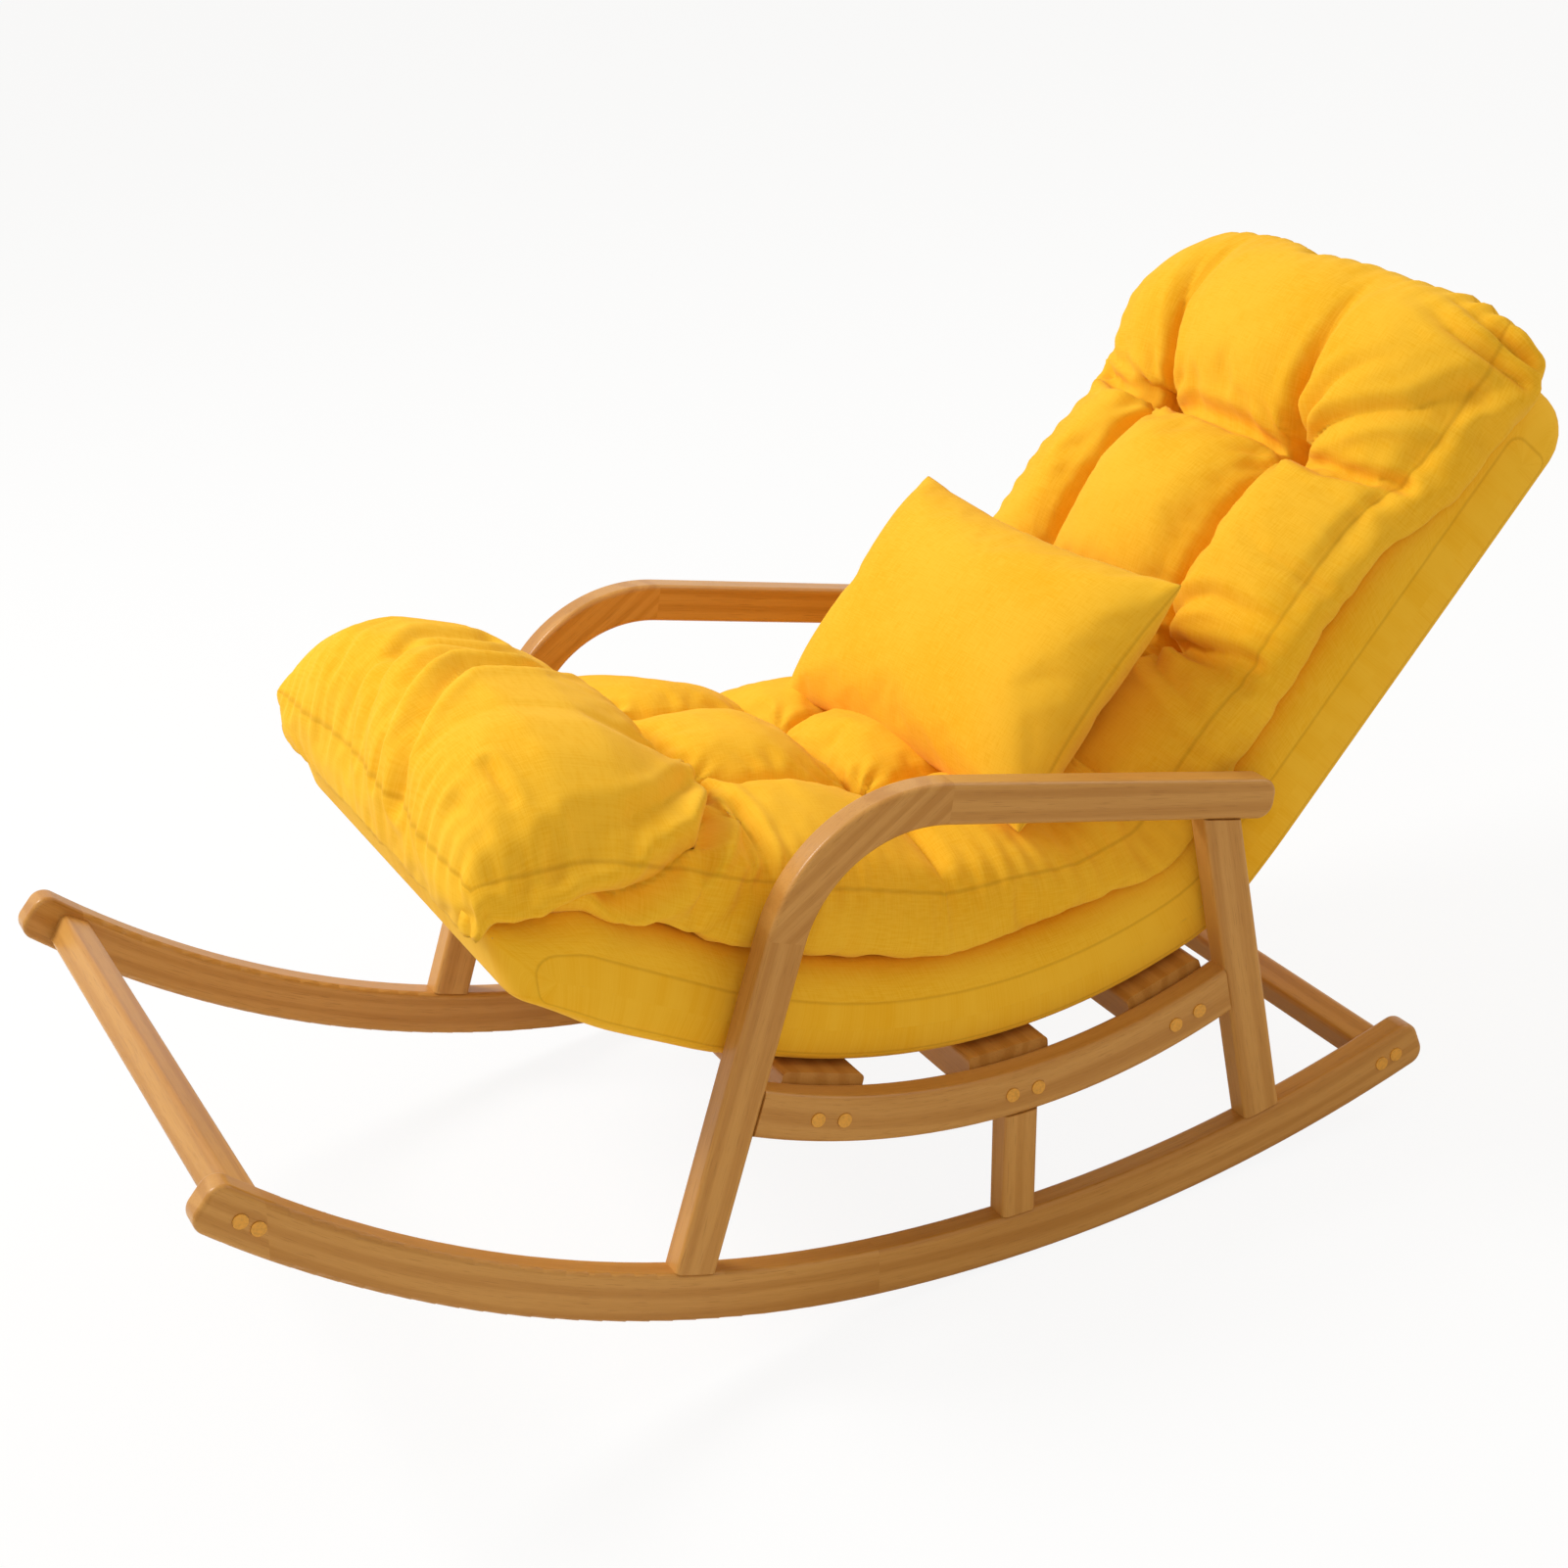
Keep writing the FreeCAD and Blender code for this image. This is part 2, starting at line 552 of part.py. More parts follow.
rear_leg_blank = board(
    "rear_leg_blank",
    [("back_foot_front_y", "back_foot_front_z"), ("back_foot_rear_y", "back_foot_rear_z"),
     ("back_head_rear_y", "back_head_rear_z"), ("back_head_front_y", "back_head_front_z")],
    {0: REAR_ARC + ("rear_top_radius", "left")},
    (1, 3), (), "inner_half", "stock")
side_rail_blank = board(
    "side_rail_blank",
    [("rail_front_low_y", "rail_front_low_z"), ("rail_rear_low_y", "rail_rear_low_z"),
     ("rail_rear_top_y", "rail_rear_top_z"), ("rail_front_top_y", "rail_front_top_z")],
    {0: SEAT_ARC + ("rail_radius", "left"), 2: SEAT_ARC + ("rail_top_radius", "right")},
    (0, 2), (), "inner_half", "stock")
post_blank = board(
    "post_blank",
    [("post_front_y", "post_front_low"), ("post_rear_y", "post_rear_low"),
     ("post_rear_y", "post_rear_high"), ("post_front_y", "post_front_high")],
    {0: REAR_ARC + ("rear_top_radius", "left"), 2: SEAT_ARC + ("rail_radius", "right")},
    (1, 3), (), "inner_half", "stock")

# Screws and their caps through the side frame into the bars across the chair
put("cap_back", "=outer_half - cap_thickness + cap_proud")
put("head_back", "=cap_back - screw_head_height")
put("screw_end", "=head_back - screw_length")
put("cap_hole_radius", "=cap_radius + hole_clearance")
put("screw_hole_radius", "=screw_radius + hole_clearance")
put("cap_hole_depth", "=outer_half - head_back + cap_proud")
screw_spots = []
for bar_name, spacing, centre, radius in (
        ("front_stretcher", "stretcher_screw_spacing", FRONT_ARC, "front_middle_radius"),
        ("rear_stretcher", "stretcher_screw_spacing", REAR_ARC, "rear_middle_radius"),
        ("front_rail", "rail_screw_spacing", SEAT_ARC, "rail_middle_radius"),
        ("middle_rail", "rail_screw_spacing", SEAT_ARC, "rail_middle_radius"),
        ("rear_rail", "rail_screw_spacing", SEAT_ARC, "rail_middle_radius")):
    for side, sign in (("fore", "-"), ("aft", "+")):
        spot = "%s_%s" % (bar_name, side)
        place = {"front_stretcher": "front_stretcher_y - front_centre_y",
                 "rear_stretcher": "rear_stretcher_place",
                 "front_rail": "-front_rail_place",
                 "middle_rail": "middle_rail_place",
                 "rear_rail": "rear_rail_place"}[bar_name]
        put(spot + "_sine", "=(%s) / %s" % (place, radius))
        put(spot + "_shift", "=%s / 2 * sqrt(1 - %s_sine^2)" % (spacing, spot))
        put(spot + "_y", "=%s + %s %s %s_shift" % (centre[0], place, sign, spot))
        put(spot + "_z", "=%s - sqrt(%s^2 - (%s_y - %s)^2)" % (centre[1], radius, spot, centre[0]))
        screw_spots.append(spot)
doc.recompute()

caps = []
screws = []
screw_holes = {}
for spot in screw_spots:
    place = (spot + "_y", spot + "_z")
    caps.append(rod_across(spot + "_cap", "cap_radius", "cap_thickness", "cap_back", *place))
    shank = rod_across(spot + "_shank", "screw_radius", "screw_length", "screw_end", *place)
    head = rod_across(spot + "_head", "screw_head_radius", "screw_head_height", "head_back", *place)
    screw = doc.addObject("Part::Fuse", spot + "_screw")
    screw.Base = shank
    screw.Tool = head
    screws.append(screw)
    screw_holes[spot] = [
        rod_across(spot + "_cap_hole", "cap_hole_radius", "cap_hole_depth", "head_back", *place),
        rod_across(spot + "_screw_hole", "screw_hole_radius", "screw_length", "screw_end", *place)]
pieces["plug_caps_left"] = group("plug_caps_left", caps)
pieces["rail_screws_left"] = group("rail_screws_left", screws)

# Dowels in the glued joints: the middle of each joint face and its direction
put("leg_slant", "=leg_lean")
put("arm_slant", "=90 + arm_slope")
put("toe_slant", "=90 deg + asin((toe_joint + front_centre_y) / front_middle_radius)")
put("level_slant", 90)
put("upright_slant", 0)
put("back_slant", "=360 - rear_leg_lean")
put("rail_front_slant", "=90 + leg_lean")
put("rail_rear_slant", "=90 - rear_leg_lean")
put("foot_slant", "=leg_lean")
put("joint_middle", "=(joint_low + joint_top) / 2")
put("toe_middle", "=(toe_low + toe_top) / 2")
put("leg_foot_y", "=-leg_foot")
put("bend_low_y", "=(bend_low_outer_y + bend_low_inner_y) / 2")
put("bend_low_z", "=(bend_low_outer_z + bend_low_inner_z) / 2")
put("bend_high_y", "=(bend_high_outer_y + bend_high_inner_y) / 2")
put("bend_high_z", "=(bend_high_outer_z + bend_high_inner_z) / 2")
put("back_head_y", "=(back_head_front_y + back_head_rear_y) / 2")
put("back_head_z", "=(back_head_front_z + back_head_rear_z) / 2")
put("post_low", "=(post_front_low + post_rear_low) / 2")
put("post_high", "=(post_front_high + post_rear_high) / 2")
put("dowel_hole_radius", "=dowel_radius + hole_clearance")
put("frame_middle", "=(outer_half + inner_half) / 2")
put("dowel_hole_length", "=dowel_length + 2 * hole_clearance")
DOWEL_JOINTS = (
    ("toe", "toe_y", "toe_middle", "toe_slant"),
    ("rocker", "joint_y", "joint_middle", "level_slant"),
    ("leg_foot", "leg_foot_y", "foot_z", "foot_slant"),
    ("bend_low", "bend_low_y", "bend_low_z", "leg_slant"),
    ("bend_high", "bend_high_y", "bend_high_z", "arm_slant"),
    ("back_foot", "rear_leg_foot", "rear_foot_z", "back_slant"),
    ("back_head", "back_head_y", "back_head_z", "back_slant"),
    ("rail_front", "rail_front_middle_y", "rail_front_middle_z", "rail_front_slant"),
    ("rail_rear", "rail_rear_middle_y", "rail_rear_middle_z", "rail_rear_slant"),
    ("post_foot", "post_place", "post_low", "upright_slant"),
    ("post_head", "post_place", "post_high", "upright_slant"))


def slanted_rod(name, radius, length, place_y, place_z, slant, spacing, side):
    """Make a rod in the side frame's middle, centred on a joint face and set off along it."""
    rod = doc.addObject("Part::Cylinder", name)
    rod.Placement = Placement(Vector(0, 0, 0), Rotation(Vector(-1, 0, 0), value(slant)))
    rod.setExpression("Placement.Rotation.Angle", "<<sizes>>." + slant)
    rod.setExpression("Radius", formula_of(radius))
    rod.setExpression("Height", formula_of(length))
    words = {"y": place_y, "z": place_z, "run": length + " / 2", "off": spacing + " / 2", "turn": slant}
    words = {key: formula_of(text) for key, text in words.items()}
    words["ahead"], words["behind"] = ("-", "+") if side == "fore" else ("+", "-")
    rod.setExpression("Placement.Base.x", "<<sizes>>.frame_middle")
    rod.setExpression("Placement.Base.y",
                      "{y} - {run} * sin({turn}) {ahead} {off} * cos({turn})".format(**words))
    rod.setExpression("Placement.Base.z",
                      "{z} - {run} * cos({turn}) {behind} {off} * sin({turn})".format(**words))
    return rod


doc.recompute()
dowels = []
dowel_holes = {}
for joint, place_y, place_z, slant in DOWEL_JOINTS:
    dowel_holes[joint] = []
    spacing = "toe_dowel_spacing" if joint == "toe" else "dowel_spacing"
    for side in ("fore", "aft"):
        rod_name = "%s_%s_dowel" % (joint, side)
        place = (place_y, place_z, slant, spacing, side)
        dowels.append(slanted_rod(rod_name, "dowel_radius", "dowel_length", *place))
        hole = slanted_rod(rod_name + "_hole", "dowel_hole_radius", "dowel_hole_length", *place)
        dowel_holes[joint].append(hole)
pieces["dowels_left"] = group("dowels_left", dowels)


def holes(*names):
    """Gather the holes of the named screws and joints."""
    gathered = []
    for name in names:
        gathered += dowel_holes.get(name, []) + screw_holes.get(name, [])
    return gathered


pieces["rocker_toe_left"] = drill(
    "rocker_toe_left", toe_blank, holes("toe", "front_stretcher_fore", "front_stretcher_aft"))
pieces["rocker_front_left"] = drill(
    "rocker_front_left", front_rocker_blank, holes("toe", "rocker", "leg_foot"))
pieces["rocker_rear_left"] = drill(
    "rocker_rear_left", rear_rocker_blank,
    holes("rocker", "back_foot", "post_foot", "rear_stretcher_fore", "rear_stretcher_aft"))
pieces["front_leg_left"] = drill(
    "front_leg_left", front_leg_blank, holes("leg_foot", "bend_low", "rail_front"))
pieces["arm_bend_left"] = drill("arm_bend_left", arm_bend_blank, holes("bend_low", "bend_high"))
pieces["armrest_left"] = drill("armrest_left", armrest_blank, holes("bend_high", "back_head"))
pieces["rear_leg_left"] = drill(
    "rear_leg_left", rear_leg_blank, holes("back_foot", "back_head", "rail_rear"))
pieces["side_rail_left"] = drill(
    "side_rail_left", side_rail_blank,
    holes("rail_front", "rail_rear", "post_head", *[spot for spot in screw_spots if "_rail_" in spot]))
pieces["middle_post_left"] = drill("middle_post_left", post_blank, holes("post_foot", "post_head"))

for name in [name for name in pieces if name.endswith("_left")]:
    other = name.replace("_left", "_right")
    pieces[other] = mirrored(other, pieces[name])

# Bars across the chair, with pilot holes for the screws of both sides
front_stretcher_blank = bar(
    "front_stretcher_blank", "stretcher_size", "stretcher_size", "inner_half",
    "front_stretcher_y", "front_stretcher_z", "front_stretcher_turn")
rear_stretcher_blank = bar(
    "rear_stretcher_blank", "stretcher_size", "stretcher_size", "inner_half",
    "rear_stretcher_place", "rear_stretcher_z", "rear_stretcher_tilt")
seat_rail_blanks = {
    name: bar(name + "_seat_rail_blank", "seat_rail_width", "seat_rail_thickness", "inner_half",
              name + "_rail_y", name + "_rail_z", name + "_rail_tilt")
    for name in ("front", "middle", "rear")}


def pilot_holes(*names):
    """Give the pilot holes of both sides for the named screws."""
    left = [screw_holes[name][1] for name in names]
    return left + [mirrored(hole.Name + "_other", hole) for hole in left]


# Screws that hold the shell down on the seat rails, from below
put("shell_screw_length", "=seat_rail_thickness + touch_gap + shell_screw_grip")
put("shell_hole_radius", "=shell_screw_radius + hole_clearance")
put("shell_head_radius", "=shell_screw_radius * 2")
put("shell_head_height", "=shell_screw_radius")
put("shell_head_room", "=shell_head_radius + hole_clearance")
put("rail_under_radius", "=shell_radius + touch_gap + seat_rail_thickness")
for name in ("front", "middle", "rear"):
    put(name + "_under_y", "=seat_centre_y + rail_under_radius * %s_rail_sine" % name)
    put(name + "_under_z", "=seat_centre_z - rail_under_radius * %s_rail_cosine" % name)
doc.recompute()


def shell_rod(name, radius, length, rail, side):
    """Make an upright rod that starts at the underside of a seat rail."""
    rod = doc.addObject("Part::Cylinder", name)
    turn_about_x(rod, rail + "_rail_tilt", value(rail + "_rail_tilt"))
    rod.setExpression("Radius", formula_of(radius))
    rod.setExpression("Height", formula_of(length))
    place_by(rod, side + " shell_screw_offset", rail + "_under_y", rail + "_under_z")
    return rod


shell_screws = []
shell_holes = {}
for rail in ("front", "middle", "rear"):
    shell_holes[rail] = []
    for side, sign in (("left", "1 *"), ("right", "-1 *")):
        stem = "%s_%s_shell" % (rail, side)
        shank = shell_rod(stem + "_shank", "shell_screw_radius", "shell_screw_length", rail, sign)
        head = shell_rod(stem + "_head", "shell_head_radius", "shell_head_height", rail, sign)
        screw = doc.addObject("Part::Fuse", stem + "_screw")
        screw.Base = shank
        screw.Tool = head
        shell_screws.append(screw)
        shell_holes[rail] += [
            shell_rod(stem + "_hole", "shell_hole_radius", "shell_screw_length", rail, sign),
            shell_rod(stem + "_head_hole", "shell_head_room", "shell_head_height", rail, sign)]
pieces["shell_screws"] = group("shell_screws", shell_screws)
pieces["front_stretcher"] = drill(
    "front_stretcher", front_stretcher_blank, pilot_holes("front_stretcher_fore", "front_stretcher_aft"))
pieces["rear_stretcher"] = drill(
    "rear_stretcher", rear_stretcher_blank, pilot_holes("rear_stretcher_fore", "rear_stretcher_aft"))
for name, blank in seat_rail_blanks.items():
    pieces["seat_rail_" + name] = drill(
        "seat_rail_" + name, blank,
        pilot_holes(name + "_rail_fore", name + "_rail_aft") + shell_holes[name])

# Seat shell

def shell_layer(name, points_name, place, thickness, tip_radius=None, soft=(), radius="edge_round"):
    """Make one layer of the shell across the chair."""
    low = points_name + "_low"
    top = points_name + "_top"
    points = [(low + "_lip_y", low + "_lip_z"), (low + "_toe_y", low + "_toe_z"),
              (low + "_turn_y", low + "_turn_z"), (low + "_back_y", low + "_back_z"),
              (low + "_end_y", low + "_end_z"), (top + "_end_y", top + "_end_z"),
              (top + "_back_y", top + "_back_z"), (top + "_turn_y", top + "_turn_z"),
              (top + "_toe_y", top + "_toe_z"), (points_name + "_rise_y", points_name + "_rise_z"),
              (points_name + "_lip_y", points_name + "_lip_z")]
    arcs = {1: SEAT_ARC + (low + "_radius", "left"), 2: KNEE_ARC + (low + "_knee", "left"),
            6: KNEE_ARC + (top + "_knee", "right"), 7: SEAT_ARC + (top + "_radius", "right")}
    tips = (4,) if tip_radius else ()
    return board(name, points, arcs, soft, tips, place, thickness, radius, tip_radius)


put("cover_start", "=-shell_half_width")
put("cover_width", "=2 * shell_half_width")
put("lining_start", "=-cover_room")
put("lining_width", "=2 * cover_room")
put("foam_start", "=touch_gap - cover_room")
put("foam_width", "=2 * cover_room - 2 * touch_gap")
doc.recompute()
cover_outside = shell_layer(
    "cover_outside", "cover", "cover_start", "cover_width", "shell_end_round", (0, 1, 3), "cover_thickness")
cover_inside = shell_layer("cover_inside", "lining", "lining_start", "lining_width", "lining_end_round")
pieces["shell_cover"] = drill(
    "shell_cover", cover_outside,
    [cover_inside] + [hole for rail in ("front", "middle", "rear") for hole in shell_holes[rail][::2]])
pieces["shell_panel_left"] = shell_layer(
    "shell_panel_left", "panel", "panel_inner", "panel_thickness", "panel_end_round")
pieces["shell_panel_right"] = mirrored("shell_panel_right", pieces["shell_panel_left"])

# Foam sheet over the webbing, along the shell's top from the front rise to the back's end
foam_points = [
    ("foam_top_toe_y", "foam_top_toe_z"), ("foam_rise_y", "foam_rise_z"),
    ("foam_under_rise_y", "foam_under_rise_z"), ("foam_low_toe_y", "foam_low_toe_z"),
    ("foam_low_turn_y", "foam_low_turn_z"), ("foam_low_back_y", "foam_low_back_z"),
    ("foam_low_end_y", "foam_low_end_z"), ("foam_top_end_y", "foam_top_end_z"),
    ("foam_top_back_y", "foam_top_back_z"), ("foam_top_turn_y", "foam_top_turn_z")]
put("foam_under_rise_y", "=foam_low_toe_y - lip_rise * toe_cosine")
put("foam_under_rise_z", "=foam_low_toe_z + lip_rise * toe_sine")
doc.recompute()
pieces["shell_foam"] = board(
    "shell_foam", foam_points,
    {3: SEAT_ARC + ("foam_low_radius", "left"), 4: KNEE_ARC + ("foam_low_knee", "left"),
     8: KNEE_ARC + ("foam_top_knee", "right"), 9: SEAT_ARC + ("foam_top_radius", "right")},
    (), (), "foam_start", "foam_width")


# Places along the shell, for its crosspieces, webbing straps and the pad

class Station:
    """A place on the shell's top: its point, and the directions along and out of the shell."""

    def __init__(self, y, z, slope):
        self.base = Vector(0, y, z)
        self.along = Vector(0, math.cos(slope), math.sin(slope))
        self.out = Vector(0, -math.sin(slope), math.cos(slope))
        self.slope = slope

    def at(self, x, height):
        """Give the point at a place across the chair and a height above the shell."""
        return self.base + Vector(x, 0, 0) + self.out * height


def seat_station(angle_share, inset=0.0):
    """Find a station on the seat's arc, from 0 at its front end to 1 at the knee."""
    slope = math.radians(angle_share * (value("knee_start") + value("toe_slope")) - value("toe_slope"))
    radius = value("cover_top_radius") + inset
    centre = Vector(0, value("seat_centre_y"), value("seat_centre_z"))
    return Station(centre.y + radius * math.sin(slope), centre.z - radius * math.cos(slope), slope)


def toe_station(rise_share, inset=0.0):
    """Find a station on the straight front rise, from 0 at the seat's arc to 1 at its top."""
    start = seat_station(0, inset)
    spot = start.base - start.along * value("lip_rise") * rise_share
    return Station(spot.y, spot.z, start.slope)


def back_station(length_share, inset=0.0):
    """Find a station on the back, from 0 at the knee to 1 at the shell's end."""
    slope = math.radians(value("back_slope"))
    radius = value("cover_top_knee") + inset
    length = value("shell_back_length") * length_share
    y = value("knee_centre_y") + radius * math.sin(slope) + length * math.cos(slope)
    z = value("knee_centre_z") - radius * math.cos(slope) + length * math.sin(slope)
    return Station(y, z, slope)


def tilted_box(name, station, width, thickness, half_length, sink):
    """Make a box across the chair at a station, its top sunk below the shell's top."""
    thing = doc.addObject("Part::Box", name)
    thing.setExpression("Length", formula_of("2 * " + half_length))
    thing.setExpression("Width", formula_of(width))
    thing.setExpression("Height", formula_of(thickness))
    corner = station.at(-value(half_length), -sink - value(thickness)) - station.along * value(width) / 2
    thing.Placement = Placement(corner, Rotation(Vector(1, 0, 0), math.degrees(station.slope)))
    return thing


def radius_gap(chord, radius):
    """Give how far a flat strip of a given width stands off an arc that it bridges."""
    return radius - math.sqrt(radius ** 2 - (chord / 2) ** 2)


# Crosspieces between the side panels: three over the seat rails, the others up the shell
seat_angle = value("knee_start") + value("toe_slope")
over_rails = [(value(rail + "_rail_tilt") + value("toe_slope")) / seat_angle for rail in ("front", "middle", "rear")]
bridge = radius_gap(value("crosspiece_width"), value("panel_low_radius"))
rail_sink = value("shell_thickness") - value("liner_inset") - bridge - value("crosspiece_thickness")
plain_sink = (value("shell_thickness") - value("crosspiece_thickness")) / 2
crosspiece_shares = [("rise", 0.75), ("back", 0.12), ("back", 0.5), ("back", 0.9)]
crosspieces = []
for rail, share in zip(("front", "middle", "rear"), over_rails):
    block = tilted_box(rail + "_crosspiece_blank", seat_station(share), "crosspiece_width",
                       "crosspiece_thickness", "panel_inner", rail_sink)
    crosspieces.append(drill(rail + "_crosspiece", block, shell_holes[rail][::2]))
for number, (part, share) in enumerate(crosspiece_shares):
    station = toe_station(share) if part == "rise" else back_station(share)
    crosspieces.append(tilted_box("crosspiece%d" % number, station, "crosspiece_width",
                                  "crosspiece_thickness", "panel_inner", plain_sink))
pieces["shell_crosspieces"] = group("shell_crosspieces", crosspieces)

# Webbing straps across the side panels, just above their top edges
strap_sink = value("foam_wrap") - value("web_thickness")
strap_bow = radius_gap(value("web_width"), value("panel_top_radius")) + value("touch_gap") / 2
strap_stations = [(toe_station(share), 0.0) for share in (0.8, 0.3)]
strap_stations += [(seat_station(share), strap_bow) for share in (0.08, 0.24, 0.4, 0.56, 0.72, 0.88)]
strap_stations += [(back_station(share), 0.0) for share in (0.12, 0.27, 0.42, 0.57, 0.72, 0.87)]
straps = [tilted_box("strap%d" % number, station, "web_width", "web_thickness", "panel_place", strap_sink - bow)
          for number, (station, bow) in enumerate(strap_stations)]
pieces["shell_webbing"] = group("shell_webbing", straps)

# Tufted pad: sections across the chair, lofted from the front roll to the top

def bulged(first, last, bulge):
    """Join two points by an arc whose middle is pushed out by a vector."""
    return Part.Arc(first, (first + last) / 2 + bulge, last).toShape()


SEAM_CROWN_SHARE = 0.72


def pad_section(station, crown, valley, width_share, sunk):
    """Draw one section of the pad: flat below, bulged sides and three lobes above."""
    half = value("pad_half_width") * width_share
    middle = value("pad_place_x")
    seam = min(value("pad_seam_height"), crown * SEAM_CROWN_SHARE)
    tuft = value("tuft_offset") * width_share
    side = Vector(value("pad_side_bulge") * width_share, 0, 0)
    low_left, low_right = station.at(middle - half, -sunk), station.at(middle + half, -sunk)
    high_left, high_right = station.at(middle - half, seam), station.at(middle + half, seam)
    tuft_left, tuft_right = station.at(middle - tuft, valley), station.at(middle + tuft, valley)
    side_lobe = station.out * (crown - (seam + valley) / 2)
    middle_lobe = station.out * (crown - valley)
    return Part.Wire([
        Part.LineSegment(low_left, low_right).toShape(),
        bulged(low_right, high_right, side),
        bulged(high_right, tuft_right, side_lobe),
        bulged(tuft_right, tuft_left, middle_lobe),
        bulged(tuft_left, high_left, side_lobe),
        bulged(high_left, low_left, -side)])


def lip_station(length_share, slope):
    """Find a station on the shell's level front lip, turned to a slope of its own."""
    y = value("cover_rise_y") - value("lip_length") * length_share
    return Station(y, value("cover_rise_z"), math.radians(slope))


# Rows of the pad: the part of the shell below, the place along it, the slope where it
# isn't the shell's own, and shares of the crown, of the valley over the tufts' columns
# (no share where the row has tufts) and of the width
PAD_ROW_SHARES = (
    ("lip", 1.0, 3, 0.78, 0.76, 0.97),
    ("lip", 0.8, 2, 1.03, 0.99, 1.0),
    ("lip", 0.35, -8, 1.13, 1.06, 1.0),
    ("rise", 0.72, None, 1.08, 0.96, 1.0),
    ("rise", 0.08, None, 0.8, None, 1.0),
    ("seat", 0.22, None, 1.0, 0.86, 1.0),
    ("seat", 0.46, None, 0.76, None, 1.0),
    ("seat", 0.66, None, 0.94, 0.82, 1.0),
    ("seat", 0.87, None, 0.72, None, 1.0),
    ("back", 0.06, None, 0.72, 0.6, 1.0),
    ("back", 0.28, None, 0.74, None, 1.0),
    ("back", 0.5, None, 0.92, 0.8, 1.0),
    ("back", 0.71, None, 0.74, None, 1.0),
    ("back", 0.9, None, 0.96, 0.84, 0.99),
    ("top", 0.6, None, 0.84, 0.8, 0.95),
    ("top", 1.0, None, 0.42, 0.39, 0.86))
overhang_share = value("pad_top_overhang") / value("shell_back_length")
front_share = value("pad_front_overhang") / value("lip_length")


def pad_station(part, share, slope):
    """Find the station of one row of the pad."""
    if part == "lip":
        return lip_station(share + front_share * share, slope)
    if part == "rise":
        return toe_station(share)
    if part == "seat":
        return seat_station(share)
    return back_station(share if part == "back" else 1 + overhang_share * share)


sections = []
for part, place_share, slope, crown_share, valley_share, width_share in PAD_ROW_SHARES:
    crown = value("pad_crown") * crown_share
    valley = value("pad_crown") * valley_share if valley_share else value("pad_tuft_height")
    sections.append(pad_section(
        pad_station(part, place_share, slope), crown, valley, width_share, value("pad_side_bulge")))
pad_loft = Part.makeLoft(sections, True, False)
put("room_inset", "=-2 * touch_gap")
shell_points("room", "room_inset", "room_inset", "room_inset")
put("room_start", "=-outer_half")
doc.recompute()
shell_room = shell_layer("shell_room", "room", "room_start", "outer_width")
tufted_pad = doc.addObject("Part::Feature", "tufted_pad")
tufted_pad.Shape = pad_loft.cut(shell_room.Shape)
pieces["tufted_pad"] = tufted_pad


# Loose pillow, leaning on the pad's lower back

END_PUFF_SHARE = 0.06
PUFF_POWER = 2.4


def pillow_section(share):
    """Draw one upright section of the pillow, from its middle at 0 to its ends at 1."""
    puff = max(END_PUFF_SHARE, math.sqrt(1 - abs(share) ** PUFF_POWER))
    thick = value("pillow_edge") + (value("pillow_thickness") - value("pillow_edge")) * puff
    half_edge = value("pillow_edge") / 2
    half_tall = value("pillow_height") / 2
    x = value("pillow_length") / 2 * share
    front = Vector(0, 0, thick / 2 - half_edge)
    corners = [Vector(x, -half_tall, half_edge), Vector(x, half_tall, half_edge),
               Vector(x, half_tall, -half_edge), Vector(x, -half_tall, -half_edge)]
    return Part.Wire([
        bulged(corners[0], corners[1], front),
        Part.LineSegment(corners[1], corners[2]).toShape(),
        bulged(corners[2], corners[3], -front),
        Part.LineSegment(corners[3], corners[0]).toShape()])


PILLOW_SHARES = (-1, -0.93, -0.75, -0.45, 0, 0.45, 0.75, 0.93, 1)
pillow_station = back_station(value("pillow_along") / value("shell_back_length"))
pillow = doc.addObject("Part::Feature", "pillow")
pillow.Shape = Part.makeLoft([pillow_section(share) for share in PILLOW_SHARES], True, False)
lean = Rotation(Vector(1, 0, 0), math.degrees(pillow_station.slope))
turn = Rotation(Vector(0, 0, 1), value("pillow_turn"))
pillow.Placement = Placement(
    pillow_station.at(value("pillow_place_x"), value("pillow_lift")), lean.multiply(turn))
pieces["pillow"] = pillow

# The chair stands free with its weight over the point where the rockers touch the
# floor, so every finished piece is rolled back about the rear arc's centre, and then
# moved along the floor until the origin is under the middle of the whole chair
put("origin_shift", 0)
put("roll_y", "=origin_shift - rear_radius * sin(rest_lean)")
put("roll_z", "=rear_radius - rear_radius * cos(rest_lean)")
doc.recompute()
subparts = {}
for name, piece in pieces.items():
    piece.Label = name + "_piece"
    standing = group(name + "_node", [piece])
    standing.Label = name
    standing.Placement = Placement(Vector(0, 0, 0), Rotation(Vector(-1, 0, 0), value("rest_lean")))
    standing.setExpression("Placement.Rotation.Angle", "<<sizes>>.rest_lean")
    place_by(standing, None, "roll_y", "roll_z")
    subparts[name] = standing
doc.recompute()
ends = [standing.Shape.optimalBoundingBox(False) for standing in subparts.values()]
middle = (min(box.YMin for box in ends) + max(box.YMax for box in ends)) / 2
sheet.set(sheet.getCellFromAlias("origin_shift"), repr(-middle))
doc.recompute()

# Every object of the document has to be sound before a file is written
for thing in doc.Objects:
    if "Invalid" in thing.State or "Error" in thing.State:
        raise RuntimeError("%s is not sound: %s" % (thing.Name, thing.State))
for name, standing in subparts.items():
    if standing.Shape.isNull() or not standing.Shape.isValid() or standing.Shape.Volume <= 0:
        raise RuntimeError("%s has no valid shape" % name)

